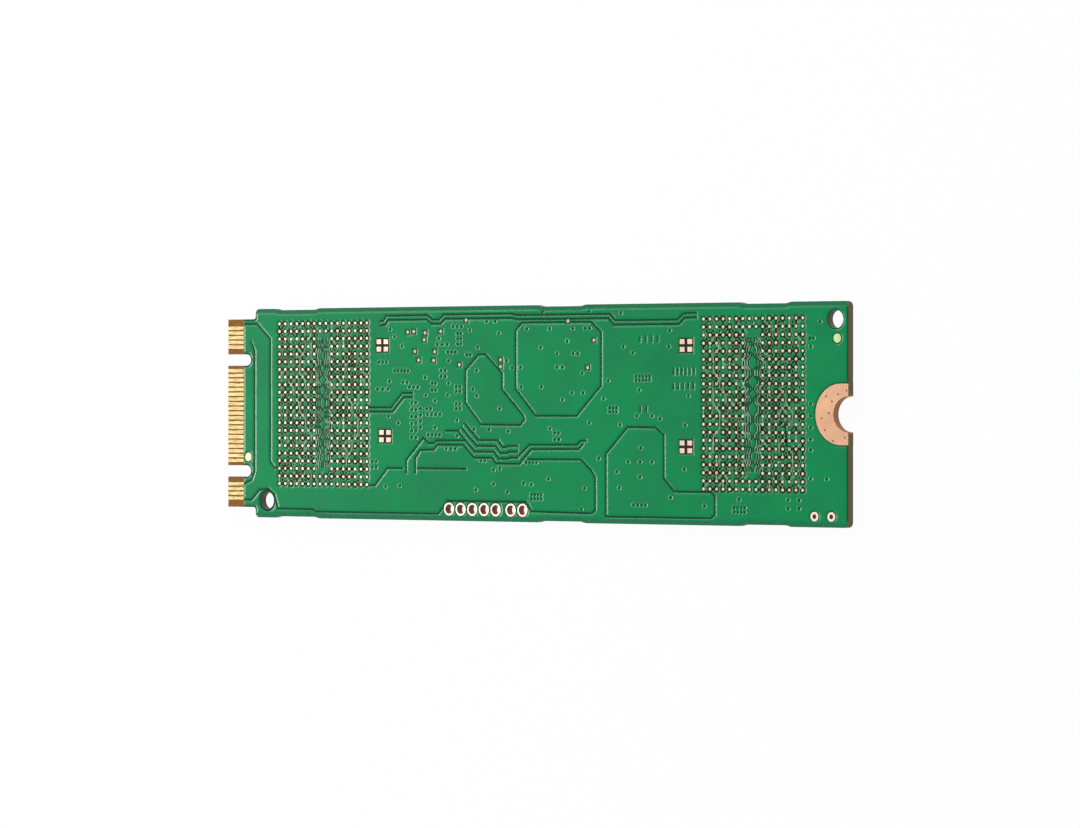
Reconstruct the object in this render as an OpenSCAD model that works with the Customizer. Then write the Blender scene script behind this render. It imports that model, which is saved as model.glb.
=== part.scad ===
// Gumstick solid state drive: a bare card drive with a keyed contact edge at one end
// and a half-round screw notch at the other. All its chips are on one side.
// X runs from the contact edge to the notch, Y across the card and Z up, in millimetres.
// The drive lies on the faces of its two flash packages at Z = 0, with its bare side up,
// and the origin is below the middle of the card.

/* [Card] */
// Length of the card from the contact edge to the notch end
card_l = 80; // [80:1:110]
// Width of the card
card_w = 22; // [22:0.5:26]
// Thickness of the laminate
card_t = 0.8; // [0.6:0.1:1.2]
// Radius of the card's outer corners
corner_r = 0.5; // [0.2:0.1:0.8]
// Length of the tongue, from the contact edge to its shoulders
tongue_l = 3.85; // [3.7:0.05:4.2]
// Laminate on the tongue beyond the centre of the outermost contact
tongue_margin = 0.675; // [0.4:0.025:0.9]
// Radius of the fillets between the tongue and its shoulders
shoulder_r = 0.3; // [0.1:0.05:0.5]
// Width of a key slot
key_w = 1.2; // [1:0.05:1.3]
// Depth of a key slot from the contact edge
key_l = 3.2; // [3:0.1:3.4]
// Radius of the half-round screw notch
notch_r = 1.75; // [1.5:0.05:2]
// Length of a panel-tab recess on a long edge
recess_l = 6.3; // [5:0.1:7]
// Depth of a panel-tab recess
recess_depth = 0.15; // [0.05:0.05:0.25]
// Run of the slope at each end of a panel-tab recess
recess_slope = 0.6; // [0.2:0.1:1]

/* [Copper] */
// Thickness of the outer copper with its solder mask
film_t = 0.05; // [0.03:0.01:0.08]
// Thickness of bare and plated metal on the card's faces
metal_t = 0.035; // [0.02:0.005:0.05]
// Bare laminate between the card's long edges and the masked copper
film_margin = 0.42; // [0.3:0.02:0.5]
// Bare laminate between the masked copper and the card's ends, slots and notch
cut_margin = 0.15; // [0.1:0.01:0.25]
// Width of the gap between two areas of masked copper
gap_w = 0.2; // [0.12:0.02:0.26]
// Width of a single signal track
track_w = 0.24; // [0.2:0.02:0.26]
// Width of a track in the pair that crosses the card
pair_track_w = 0.39; // [0.36:0.01:0.4]
// Gap between a track and the copper beside it
track_gap = 0.2; // [0.16:0.01:0.21]
// Diameter of a via's dimple in the masked copper
via_d = 0.3; // [0.2:0.02:0.36]

/* [Contacts] */
// Distance between the centres of two contacts on one side
contact_pitch = 0.5; // [0.48:0.01:0.52]
// Width of a contact
contact_w = 0.35; // [0.25:0.01:0.4]
// Length of a contact
contact_l = 2.2; // [1.8:0.1:2.4]

/* [Screw ring and holes] */
// Outer radius of the bare copper ring at the screw notch
ring_r = 3; // [2.75:0.05:3.3]
// Distance of the ring's centre from the notch end
ring_back = 0.9; // [0.5:0.1:1.2]
// Diameter of a tooling hole
tooling_d = 1.8; // [1.2:0.05:2]
// Diameter of a fiducial mark
fiducial_d = 0.9; // [0.6:0.1:1]
// Diameter of a header hole, inside its plating
header_hole_d = 0.95; // [0.7:0.05:1]
// Outer diameter of a header hole's plated rim
header_rim_d = 1.35; // [1.25:0.05:1.4]
// Distance between neighbouring header holes
header_pitch = 1.53; // [1.5:0.01:1.6]
// Extra distance between the five header holes and the pair beside them
header_split = 0.42; // [0.3:0.02:0.6]
// Diameter of a small supply hole, inside its plating
supply_hole_d = 0.45; // [0.3:0.05:0.55]
// Outer diameter of a supply hole's plated rim
supply_rim_d = 0.95; // [0.85:0.05:1.1]
// Distance between the two supply holes
supply_pitch = 2; // [1.5:0.1:2.2]
// Thickness of the plating in the holes
plating_t = 0.05; // [0.03:0.01:0.08]

/* [Flash packages] */
// Size of a flash package along the card
flash_l = 14; // [13.6:0.1:14.2]
// Size of a flash package across the card
flash_w = 18; // [17.8:0.1:18.2]
// Thickness of a flash package
flash_t = 1; // [0.9:0.05:1.2]
// Height of the solder balls under every package
ball_h = 0.25; // [0.2:0.01:0.3]
// Diameter of a solder ball
ball_d = 0.42; // [0.3:0.02:0.45]
// Distance from the contact edge to the middle of the left flash package
flash_left_in = 13.2; // [13.1:0.1:13.3]
// Distance from the notch end to the middle of the right flash package
flash_right_in = 11.4; // [11.3:0.1:11.5]
// How far the flash packages stand off the centre line, as a share of the card's spare width
flash_side_share = 0.25; // [0.225:0.005:0.275]
// Distance between the lands of a flash package
land_pitch = 0.8; // [0.78:0.01:0.81]
// Diameter of a land
land_d = 0.4; // [0.3:0.02:0.42]
// Bare laminate round the lands at the rim of their field
land_rim = 0.1; // [0.06:0.01:0.14]

/* [Controller and memory] */
// Side of the square controller package
controller_s = 12; // [11:0.1:12.2]
// Height of the controller package above its solder balls
controller_t = 0.95; // [0.7:0.05:1]
// Size of the memory package along the card
memory_l = 8; // [7.5:0.1:8.2]
// Size of the memory package across the card
memory_w = 11; // [10:0.1:11.4]
// Height of the memory package above its solder balls
memory_t = 0.8; // [0.6:0.05:0.95]

/* [Power parts] */
// Side of the square power management chip
power_s = 5; // [4.6:0.1:5.2]
// Height of the power management chip
power_t = 0.85; // [0.6:0.05:1.1]
// Length of a power inductor
coil_l = 2.5; // [2.2:0.1:2.6]
// Width of a power inductor
coil_w = 2; // [1.8:0.1:2.2]
// Height of a power inductor
coil_t = 1.1; // [0.8:0.05:1.15]
// Side of a square voltage regulator
regulator_s = 2; // [1.8:0.1:2.1]
// Height of a voltage regulator
regulator_t = 0.75; // [0.5:0.05:1]
// Length of the timing crystal
crystal_l = 2.5; // [2.2:0.1:2.6]
// Width of the timing crystal
crystal_w = 2; // [1.8:0.1:2.1]
// Height of the timing crystal's ceramic base
crystal_t = 0.45; // [0.3:0.05:0.6]
// Height of the timing crystal's metal lid
crystal_lid_t = 0.12; // [0.08:0.02:0.2]

/* [Capacitors and resistors] */
// Length of a bulk capacitor
bulk_l = 2; // [1.8:0.1:2.1]
// Width of a bulk capacitor
bulk_w = 1.25; // [1:0.05:1.3]
// Height of a bulk capacitor
bulk_t = 1; // [0.8:0.05:1.15]
// Length of a small capacitor
cap_l = 1; // [0.9:0.05:1.05]
// Width of a small capacitor
cap_w = 0.5; // [0.45:0.05:0.55]
// Height of a small capacitor
cap_t = 0.5; // [0.4:0.05:0.6]
// Height of a resistor
resistor_t = 0.35; // [0.25:0.05:0.4]
// Length of a metal terminal as a share of a capacitor's or resistor's length
terminal_share = 0.24; // [0.18:0.01:0.3]

/* [Hidden] */
$fn = 48;

// Edges of the card
left = -card_l / 2;
right = card_l / 2;
top = card_w / 2;
bottom = -card_w / 2;

// Heights of the laminate's two faces
chip_face = flash_t + ball_h;
bare_face = chip_face + card_t;

// Overlap of cutting shapes past the faces they cut
past = 0.5;

// Chip-side parts stand on soldered pads that are level with the solder mask
seat = film_t;

// Contacts are numbered across the tongue, odd ones on the chip side
first_contact = 1;
last_contact = 75;
middle_contact = (first_contact + last_contact) / 2;
key_b_contacts = [12, 19];
key_m_contacts = [59, 66];
function contact_y(n) = (middle_contact - n) * contact_pitch / 2;
function in_key(n, key) = n >= key[0] && n <= key[1];
function key_y(key) = contact_y((key[0] + key[1]) / 2);
key_b_y = key_y(key_b_contacts);
key_m_y = key_y(key_m_contacts);
tongue_half = contact_y(first_contact) + tongue_margin;

// Places along the long edges where the panel tabs were cut away
recess_starts = [left + 6.4, 1.6, right - 13.1];

// Holes
tooling_holes = [[left + 5.5, bottom + 1.8], [right - 1.5, top - 1.75]];
fiducials = [[left + 2.85, key_m_y + 1.5], [right - 1.3, top - 3.6]];
header_start = [-9.8, bottom + 1.2];
header_count = 7;
header_first_group = 5;
header_holes = [for (i = [0:header_count - 1])
    header_start + [i * header_pitch + (i < header_first_group ? 0 : header_split), 0]];
supply_start = [right - 4, bottom + 1.05];
supply_holes = [for (i = [0:1]) supply_start + [i * supply_pitch, 0]];

// The ring's small vias, at angles round the notch
ring_inner_vias = [95, 122, 147, 177, 260];
ring_outer_vias = [146, 187, 209, 235];
ring_via_d = 0.16;

// Flash packages and their fields of lands
flash_left_x = left + flash_left_in;
flash_right_x = right - flash_right_in;
flash_y = flash_side_share * (card_w - flash_w);
land_columns = 16;
land_rows = 22;
land_full_rows = 2;
field_l = (land_columns - 1) * land_pitch;
field_w = (land_rows - 1) * land_pitch;
function is_land(column, row) =
    row < land_full_rows || row >= land_rows - land_full_rows
    || abs(column - (land_columns - 1) / 2) > 1;
// Distance from the middle of a field to the edge of its opening
field_half = (field_l + land_d) / 2 + land_rim;
land_spots = [for (column = [0:land_columns - 1], row = [0:land_rows - 1])
    if (is_land(column, row))
        land_pitch * [column - (land_columns - 1) / 2, row - (land_rows - 1) / 2]];
function at_rim(spot) =
    abs(spot[0]) > (field_l - land_pitch) / 2 || abs(spot[1]) > (field_w - land_pitch) / 2;

// Probe pads are groups of four squares
probe_size = [0.6, 0.5];
probe_pitch = [0.95, 0.77];
probe_rim = 0.12;
probe_groups = [[flash_left_x + 8.1, 7.05], [flash_left_x + 8.45, -2.35],
                [flash_right_x - 8.15, 6.8], [flash_right_x - 8.15, -3.25]];

// Small bare test pads
test_size = [0.42, 0.34];
test_rim = 0.1;
test_spots = [[-15.3, 8.4], [-14.5, 8.45], [-13, 8.3], [-13.1, 7.6], [-14.35, 6.4], [-13.85, 5.5],
              [-11.7, 6.35], [-11.85, 5.45], [-10.9, 8.45], [-8.45, 5], [-7.55, 9.55],
              [-3.05, 5.5], [-3.05, 4.8], [8.95, 7.4], [8.15, 4.65], [5.65, 9.35]];

// Centre lines of the gaps that run from one edge area to another
tongue_gap = [[left + 3.25, key_b_y + 1.9], [left + 3.7, key_b_y + 1], [left + 3.7, key_m_y],
              [left + 3.25, key_m_y - 0.95], [left + 2.3, key_m_y - 1.35]];
upper_left_gap = [[left + 2.3, tongue_half - 0.5], [left + 4.1, tongue_half - 0.5],
                  [left + 5.9, tongue_half - 2.1], [left + 5.9, -5.1], [left + 6.5, -5.75],
                  [left + 7.1, -5.75]];
lower_left_gap = [[left + 2.3, contact_y(last_contact) + 0.1], [left + 3.3, bottom + 1.85],
                  [left + 4.4, bottom + 2.9], [left + 5.6, bottom + 3.05],
                  [left + 6.5, bottom + 2.4], [left + 7, bottom + 0.95],
                  [left + 11.9, bottom + 0.95], [left + 12.3, bottom + 0.7],
                  [header_start[0] - 1.4, bottom + 0.7], [header_start[0] - 0.2, bottom + 2.05],
                  [0.3, bottom + 2.05], [1, bottom + 1.1], [8.6, bottom + 1]];
field_exit_gap = [[flash_left_x + 6, -7.45], [flash_left_x + 7.1, -7.45],
                  [flash_left_x + 8.8, -5.65], [-15.9, -5.65]];
middle_gap = [[-14, -5.65], [-7.5, -5.65]];
strip_left_gap = [[-15.5, -6.2], [-15.5, -4.8], [-13.2, -2.5], [-12.45, -3.05], [-11.8, -3.05],
                  [-11.4, -2.75], [-7.4, -2.75]];
strip_right_gap = [[-1.5, -4.38], [-0.85, -4.42], [0.7, -3.15], [6.8, -3.1], [7.3, -2.7],
                   [8, -2.7]];
strip_lower_gap = [[-14.3, -6.2], [-14.3, -4.6], [-13.6, -3.75], [-11.8, -3.7], [-11.3, -3.2],
                   [-7.9, -3.2], [-6.48, -4.5], [-4.15, -4.5], [-3.6, -5.08], [-0.6, -5.1],
                   [0.95, -3.6], [7, -3.55], [7.6, -3]];
pair_left_gap = [[-10.3, -1.76], [-8.2, -1.76]];
lower_middle_gap = [[0.5, -4.6], [7.3, -4.6], [8.6, -5.7], [9.1, -6.4], [9.1, bottom + 1.3],
                    [8.6, bottom + 1]];
open_gaps = [tongue_gap, upper_left_gap, lower_left_gap, field_exit_gap, middle_gap,
             strip_left_gap, strip_right_gap, strip_lower_gap, pair_left_gap, lower_middle_gap];

// Centre lines of the gaps that run clockwise round an island of copper
supply_island = [[-7.65, 1.1], [-7.65, 4.45], [-5.9, 6.05], [-5, 6.05], [-2.85, 4.1],
                 [-2.85, 2.45], [-0.15, -0.15], [0.05, -0.6], [-0.5, -1.15], [-5.6, -1.1]];
octagon_island = [[-0.25, 9.25], [8.6, 9.25], [9.85, 8.2], [9.85, 2.85], [6.75, -0.2],
                  [1.5, -0.2], [-1.1, 2.5], [-1.1, 8.45]];
lower_right_island = [[10.45, bottom + 0.7], [10.45, -4], [13.2, -1.3], [16.7, -1.35],
                      [17.7, -2.1], [17.7, -6.4], [19, -7.7], [23.5, -7.7], [24, -8.1],
                      [24, bottom + 1.1], [23.5, bottom + 0.7]];
closed_gaps = [supply_island, octagon_island, lower_right_island];

// Groups of tracks: the first one's centre line, the number of tracks to its right, and their width
edge_tracks = [[[-19, top - 1.65], [-18.4, top - 1.6], [-18, top - 1.1], [-12.7, top - 1.1],
                [-12, top - 1.55], [-11, top - 1.55], [-10.4, top - 1.05], [-1.6, top - 1.05],
                [-0.9, top - 1.2], [10.9, top - 1.2], [11.6, top - 1.85], [19.5, top - 1.85],
                [20.2, top - 1.25], [21.8, top - 1.2]], 1, track_w];
field_tracks = [[[flash_left_x + field_half - land_rim / 2, 0.4], [-17.4, 0.4],
                 [-15.9, 1.9], [-14.6, 1.9]], 1, track_w];
pair_tracks = [[[-7.95, -1.2], [-6, -3], [-3.5, -3], [-2.85, -3.7], [-2.25, -3.7], [-2, -3.58],
                [-0.75, -3.58]], 2, pair_track_w];
track_groups = [edge_tracks, field_tracks, pair_tracks];

// Vias that stand in rows: first place, number along X, number along Y and the two steps
via_rows = [[[-19.3, 2.5], 3, 1, 0.7, 0], [[-19.1, 5.3], 3, 1, 0.5, 0],
            [[-20, -5], 2, 2, 0.5, -0.6], [[-17, 4.4], 5, 1, 0.45, 0],
            [[-15.9, 3.2], 2, 1, 0.6, 0], [[-15, 2.7], 3, 1, 0.55, 0],
            [[-14.7, 1.1], 2, 6, 0.55, -0.72], [[-13.55, 0.5], 1, 4, 0, -0.65],
            [[-12.7, 0.5], 2, 1, 0.5, 0], [[-12.6, -0.1], 4, 1, 0.55, 0],
            [[-12.5, -2.2], 4, 1, 0.5, 0], [[-5.55, -4.83], 2, 1, 0.5, 0],
            [[-12, 3.1], 2, 2, 0.45, -0.7], [[-10.8, 4.4], 2, 2, 0.55, -0.6],
            [[-8.8, 2.75], 2, 2, 0.5, -0.5], [[-8.8, 1], 2, 2, 0.5, -0.5],
            [[-11.3, 7.1], 3, 1, 0.65, 0], [[-9.9, 6.3], 3, 1, 0.5, 0],
            [[-9.2, 8.9], 3, 1, 0.55, 0], [[7.9, 8.6], 2, 1, 0.55, 0], [[-8.6, 8.2], 2, 3, 0.4, -0.55],
            [[-7.4, 6], 2, 1, 0.45, 0], [[-10.1, -3.6], 3, 1, 0.6, 0],
            [[0.3, -4.95], 4, 1, 0.45, 0], [[0.4, 8.6], 3, 1, 2.95, 0],
            [[1, -8.2], 4, 2, 0.42, -0.45], [[4, -1.95], 2, 2, 0.5, -0.65],
            [[11, 0.6], 3, 2, 0.42, -0.4], [[14.3, 3.75], 5, 2, 0.42, -0.4],
            [[14, -9.1], 4, 1, 0.5, 0], [[13.3, -4.8], 3, 1, 1.5, 0],
            [[26.4, -9.2], 4, 2, 0.42, -0.45], [[right - 7.1, -8.4], 2, 2, 1.3, -0.8],
            [[flash_right_x + 6.9, 7.4], 2, 1, 0.4, 0], [[flash_right_x + 7, 6.6], 1, 1, 0, 0],
            [[flash_right_x + 7, 1], 1, 4, 0, -1.15], [[flash_right_x + 7, -3.5], 1, 2, 0, -2.8]];

// Vias that stand alone
lone_vias = [[-17.6, 8.7], [-17, 7.9], [-16, 6.95], [-17.7, 3.3], [-17.8, -0.3], [-16.5, -1],
             [-18.2, -7.6], [-16.3, -7.5], [-12.8, 1.9], [-11.6, 1.3], [-9.9, 1.9],
             [-12.9, 3.7], [-9.8, 3.1], [-8.7, -0.7], [-8.7, -2.3], [-6.45, -1.6],
             [-3.9, -5.75], [-3.1, -5.6], [-11.6, -1.45], [-11.1, 7.7], [-9.8, 5.4], [-7, 8.5],
             [-6, 6.75], [-3.2, 8.2], [-6.1, 4.4], [-6.1, 1.8], [-3.1, 0.5], [-6.6, 2.5],
             [-4.8, 9.4], [-3.7, 9.4], [-1.5, 4.65], [-2.2, 5.4], [-4.5, -1.65], [-2, -1.8],
             [-6.2, -7.8], [-3.9, -7.2], [-2.1, -8], [5.6, 7.3], [2.2, 6.7], [4.3, 6.05],
             [6.35, 6.05], [4.3, 4.7], [5, 4.7], [-0.4, 4.7], [-0.3, 2.7], [2.3, 2.7],
             [6.2, 2.1], [7.6, 2.1], [6.95, 6.05], [5, 1.4], [7.5, 4.05], [2.4, 10.3],
             [8.4, 10.3], [12.4, 10.1], [13.9, 6.1], [12.7, 6.7], [10.8, 3.3], [10.2, 1.5],
             [8.4, -0.9], [12.3, -1.1], [14.7, 2.4], [17.3, -0.5], [18.5, 8.3], [18.4, 6.7],
             [14.4, -0.2], [16.3, -0.2], [14.9, -3.4], [11.9, -5.8], [14.8, -6.3], [12.2, -7.4],
             [3.2, -6.6], [0, -7.1], [1, -7.2], [7.8, -7.5], [7.4, -9.6], [3.4, -1.5],
             [9.6, -4.5], [20.4, -1.1], [20.8, 1.8], [20.3, -5.5], [18.6, -8.3], [27, -8.4],
             [22.8, -9.1], [right - 3.3, 9], [right - 2.5, -6.3]];

// Short upright slots in the masked copper: first place, number and step along X
slot_rows = [[[14.75, 7.45], 4, 0.74], [[18.95, 4.2], 6, 0.5], [[18.9, 2.75], 5, 0.62],
             [[14.8, 0.45], 2, 0.78]];
slot_size = [0.16, 0.6];

// Chip side: places of the packages
controller_at = [4.6, 3.9];
memory_at = [15.9, -4.2];
power_at = [-14.6, 5.6];
crystal_at = [-3.6, -4.7];
part_gap = 0.5;
coil_step = 2.8;
coil_spots = [for (i = [0:2])
    [power_at[0] + power_s / 2 + part_gap + coil_l / 2, power_at[1] + (1 - i) * coil_step]];
regulator_spots = [[power_at[0] - 0.6, -2.6], [power_at[0] - 0.6, -6.2], [-8.4, -6.6]];

// The controller's moulded block: its share of the height and its step in from the carrier
mould_share = 0.7;
mould_t = mould_share * controller_t;
controller_step = 0.5;

// Solder balls of the controller and of the memory
controller_ball_pitch = 0.8;
controller_balls_side = 13;
controller_ball_rows = 4;
memory_ball_pitch = 0.8;
memory_ball_columns = 9;
memory_ball_rows = 13;
memory_ball_group = 3;

// Leads under the power chip and the regulators
lead_w = 0.24;
lead_l = 0.4;
lead_t = 0.2;
lead_pitch = 0.5;
power_leads_side = 8;
regulator_leads_side = 3;
four_sides = [0, 90, 180, 270];
two_sides = [0, 180];

// Capacitors and resistors: place, and 90 where one stands across the card
wall_gap = part_gap + cap_w / 2;
flash_cap_step = 2.3;
chip_cap_step = 2;
power_cap_step = 1.5;
resistor_step = 1.4;
bulk_step = 2.2;
resistor_row_ys = [bottom + 3.6, bottom + 2.6];
small_cap_spots = concat(
    [for (i = [-3:3]) [flash_left_x + flash_l / 2 + wall_gap, flash_y + i * flash_cap_step, 90]],
    [for (i = [-3:3]) [flash_right_x - flash_l / 2 - wall_gap, flash_y + i * flash_cap_step, 90]],
    [for (i = [-2:2]) [controller_at[0] - controller_s / 2 - wall_gap,
                       controller_at[1] + i * chip_cap_step, 90]],
    [for (i = [0:2]) [controller_at[0] + controller_s / 2 + wall_gap,
                      controller_at[1] + i * chip_cap_step, 90]],
    [for (i = [-2:1]) [controller_at[0] + i * chip_cap_step,
                       controller_at[1] - controller_s / 2 - wall_gap, 0]],
    [for (i = [0:2]) [memory_at[0] - memory_l / 2 - wall_gap,
                      memory_at[1] - i * chip_cap_step, 90]],
    [for (i = [-1:1]) [power_at[0] + i * power_cap_step,
                       power_at[1] + power_s / 2 + wall_gap, 0]]);
resistor_spots = concat(
    [for (i = [-2:1]) [power_at[0] + i * resistor_step,
                       power_at[1] - power_s / 2 - wall_gap, 0]],
    [for (i = [-1:1]) [crystal_at[0] + i * resistor_step,
                       crystal_at[1] - crystal_w / 2 - wall_gap, 0]],
    [for (y = resistor_row_ys, i = [-1:2]) [controller_at[0] + i * resistor_step, y, 0]]);
bulk_spots = concat(
    [for (i = [0:2]) [coil_spots[i][0] + coil_l / 2 + part_gap + bulk_w / 2, coil_spots[i][1], 90]],
    [for (i = [0:1]) [power_at[0] + 2.6, -2 - i * bulk_step, 0]],
    [[-8.4, -2.2, 0], [-8.4, -4.1, 0]]);

// Solder pads reach a little past the metal terminals that stand on them
pad_reach = 0.12;
pad_rim = 0.08;

// The crystal's four pads: place and size as shares of its length and width
crystal_pad_out = 0.3;
crystal_pad_share = 0.36;

// Left normal of the way from one point to the next
function side(a, b) = let (d = b - a) [-d[1], d[0]] / norm(d);

// Point i of an open route, moved sideways so that the moved route keeps its distance
function mitre(route, i, d) =
    i == 0 ? route[0] + d * side(route[0], route[1]) :
    i == len(route) - 1 ? route[i] + d * side(route[i - 1], route[i]) :
    let (a = side(route[i - 1], route[i]), b = side(route[i], route[i + 1]))
        route[i] + d * (a + b) / (1 + a * b);
function beside(route, d) = [for (i = [0:len(route) - 1]) mitre(route, i, d)];
function backwards(route) = [for (i = [len(route) - 1:-1:0]) route[i]];

// The same for a loop, whose last point joins its first
function loop_mitre(loop, i, d) =
    let (n = len(loop), a = side(loop[(i + n - 1) % n], loop[i]), b = side(loop[i], loop[(i + 1) % n]))
        loop[i] + d * (a + b) / (1 + a * b);
function loop_beside(loop, d) = [for (i = [0:len(loop) - 1]) loop_mitre(loop, i, d)];

// A strip of even width along an open route
module strip(route, w) {
    polygon(concat(beside(route, w / 2), backwards(beside(route, -w / 2))));
}

// A strip of even width round a loop
module loop_strip(loop, w) {
    difference() {
        polygon(loop_beside(loop, w / 2));
        polygon(loop_beside(loop, -w / 2));
    }
}

module box_2d(x0, y0, x1, y1) {
    translate([x0, y0])
        square([x1 - x0, y1 - y0]);
}

module round_box_2d(x0, y0, x1, y1, r) {
    box_2d(x0 + r, y0, x1 - r, y1);
    box_2d(x0, y0 + r, x1, y1 - r);
    for (x = [x0 + r, x1 - r], y = [y0 + r, y1 - r])
        translate([x, y])
            circle(r);
}

// Fillet in the corner between the tongue and a shoulder
module shoulder_fillet_2d(shoulder_x, tongue_y, r) {
    difference() {
        translate([shoulder_x - r, min(tongue_y, tongue_y + sign(tongue_y) * r)])
            square(r);
        translate([shoulder_x - r, tongue_y + sign(tongue_y) * r])
            circle(r);
    }
}

// A shallow recess in a long edge, from the card's inside out
module edge_recess_2d(start, edge_y, inset) {
    out = sign(edge_y);
    floor_y = edge_y - out * (recess_depth + inset);
    polygon([[start, edge_y + out * past], [start, edge_y - out * inset],
             [start + recess_slope, floor_y], [start + recess_l - recess_slope, floor_y],
             [start + recess_l, edge_y - out * inset], [start + recess_l, edge_y + out * past]]);
}

module key_slot_2d(y, inset) {
    box_2d(left - past, y - key_w / 2 - inset, left + key_l - key_w / 2, y + key_w / 2 + inset);
    translate([left + key_l - key_w / 2, y])
        circle(key_w / 2 + inset);
}

// The card's outline, drawn in from the long edges and from its ends, slots and notch
module card_2d(edge_in, cut_in) {
    difference() {
        union() {
            round_box_2d(left + tongue_l + cut_in, bottom + edge_in, right - cut_in, top - edge_in,
                         max(corner_r - edge_in, 0.1));
            box_2d(left + cut_in, -tongue_half + cut_in, left + tongue_l + corner_r + cut_in,
                   tongue_half - cut_in);
            for (y = [-tongue_half, tongue_half])
                shoulder_fillet_2d(left + tongue_l + cut_in, y - sign(y) * cut_in, shoulder_r);
        }
        for (y = [bottom, top], start = recess_starts)
            edge_recess_2d(start, y, edge_in);
        for (y = [key_b_y, key_m_y])
            key_slot_2d(y, cut_in);
        translate([right, 0])
            circle(notch_r + cut_in);
    }
}

module bare_card_2d() {
    card_2d(0, 0);
}

module copper_area_2d() {
    card_2d(film_margin, cut_margin);
}

module discs_2d(spots, d) {
    for (spot = spots)
        translate(spot)
            circle(d = d);
}

module tooling_holes_2d(rim) {
    discs_2d(tooling_holes, tooling_d + 2 * rim);
}

// The screw ring's outline: round towards the card, straight to the notch end
module ring_outline_2d(rim) {
    translate([right - ring_back, 0])
        circle(ring_r + rim);
    box_2d(right - ring_back, -ring_r - rim, right + past, ring_r + rim);
}

// The opening for a field of lands, with a scalloped rim round the outermost ones
module field_2d(centre) {
    translate(centre) {
        square([field_l, field_w], center = true);
        for (spot = land_spots)
            if (at_rim(spot))
                translate(spot)
                    circle(d = land_d + 2 * land_rim);
    }
}

module probe_squares_2d(rim) {
    for (group = probe_groups, x = [-1, 1], y = [-1, 1])
        translate(group + [x * probe_pitch[0] / 2, y * probe_pitch[1] / 2])
            square(probe_size + [rim, rim] * 2, center = true);
}

module probe_windows_2d() {
    for (group = probe_groups)
        translate(group)
            square(probe_pitch + probe_size + [probe_rim, probe_rim] * 2, center = true);
}

module test_squares_2d(rim) {
    for (spot = test_spots)
        translate(spot)
            square(test_size + [rim, rim] * 2, center = true);
}

// The channel that a group of tracks lies in
module track_channel_2d(group) {
    shift = (group[1] - 1) * (group[2] + track_gap) / 2;
    strip(beside(group[0], -shift), 2 * shift + group[2] + 2 * track_gap);
}

module via_dimples_2d() {
    for (row = via_rows, i = [0:row[1] - 1], j = [0:row[2] - 1])
        translate(row[0] + [i * row[3], j * row[4]])
            circle(d = via_d);
    discs_2d(lone_vias, via_d);
    for (row = slot_rows, i = [0:row[1] - 1])
        translate(row[0] + [i * row[2], 0])
            square(slot_size, center = true);
}

// Lifts a flat shape onto the bare side
module on_bare_side(t) {
    translate([0, 0, bare_face])
        linear_extrude(t)
            children();
}

// Hangs what is modelled upwards from zero below the chip side
module below_chip_side(h = 0) {
    translate([0, 0, chip_face - h])
        mirror([0, 0, 1])
            children();
}

module circuit_board() {
    color("#3d6b48")
        translate([0, 0, chip_face])
            linear_extrude(card_t)
                difference() {
                    bare_card_2d();
                    tooling_holes_2d(0);
                    discs_2d(header_holes, header_hole_d + 2 * plating_t);
                    discs_2d(supply_holes, supply_hole_d + 2 * plating_t);
                }
}

module ground_copper_bare_side() {
    hole_rim = 0.25;
    color("#1a8552")
        on_bare_side(film_t)
            difference() {
                copper_area_2d();
                box_2d(left, -tongue_half, left + contact_l + metal_t, tongue_half);
                for (gap = open_gaps)
                    strip(gap, gap_w);
                for (gap = closed_gaps)
                    loop_strip(gap, gap_w);
                for (group = track_groups)
                    track_channel_2d(group);
                field_2d([flash_left_x, flash_y]);
                field_2d([flash_right_x, flash_y]);
                probe_windows_2d();
                test_squares_2d(test_rim);
                tooling_holes_2d(hole_rim);
                discs_2d(fiducials, fiducial_d + 2 * test_rim);
                discs_2d(header_holes, header_rim_d + 2 * test_rim);
                discs_2d(supply_holes, supply_rim_d + 2 * test_rim);
                ring_outline_2d(test_rim);
                via_dimples_2d();
            }
}

module signal_tracks_bare_side() {
    color("#1f8f59")
        on_bare_side(film_t)
            for (group = track_groups, i = [0:group[1] - 1])
                strip(beside(group[0], -i * (group[2] + track_gap)), group[2]);
}

// The contacts whose number runs from one value up in steps of two, outside the keys
module contacts_2d(first) {
    for (n = [first:2:last_contact])
        if (!in_key(n, key_b_contacts) && !in_key(n, key_m_contacts))
            box_2d(left, contact_y(n) - contact_w / 2, left + contact_l, contact_y(n) + contact_w / 2);
}

module contacts_bare_side() {
    color("#e8bf6a")
        on_bare_side(metal_t)
            contacts_2d(first_contact + 1);
}

module contacts_chip_side() {
    color("#e8bf6a")
        below_chip_side()
            linear_extrude(metal_t)
                contacts_2d(first_contact);
}

module flash_lands(centre) {
    color("#e8d8c8")
        for (spot = land_spots)
            translate([centre[0] + spot[0], centre[1] + spot[1], bare_face])
                cylinder(d = land_d, h = metal_t);
}

module probe_pads() {
    color("#efd9c8")
        on_bare_side(metal_t)
            probe_squares_2d(0);
}

module test_pads() {
    color("#e0b8a8")
        on_bare_side(metal_t)
            test_squares_2d(0);
}

module fiducial_marks() {
    color("#d9e8a0")
        on_bare_side(metal_t)
            discs_2d(fiducials, fiducial_d);
}

module ring_vias_2d() {
    for (a = ring_inner_vias)
        translate([right, 0] + (notch_r + 0.55) * [cos(a), sin(a)])
            circle(d = ring_via_d);
    for (a = ring_outer_vias)
        translate([right, 0] + (ring_r + 0.15) * [cos(a), sin(a)])
            circle(d = ring_via_d);
}

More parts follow.
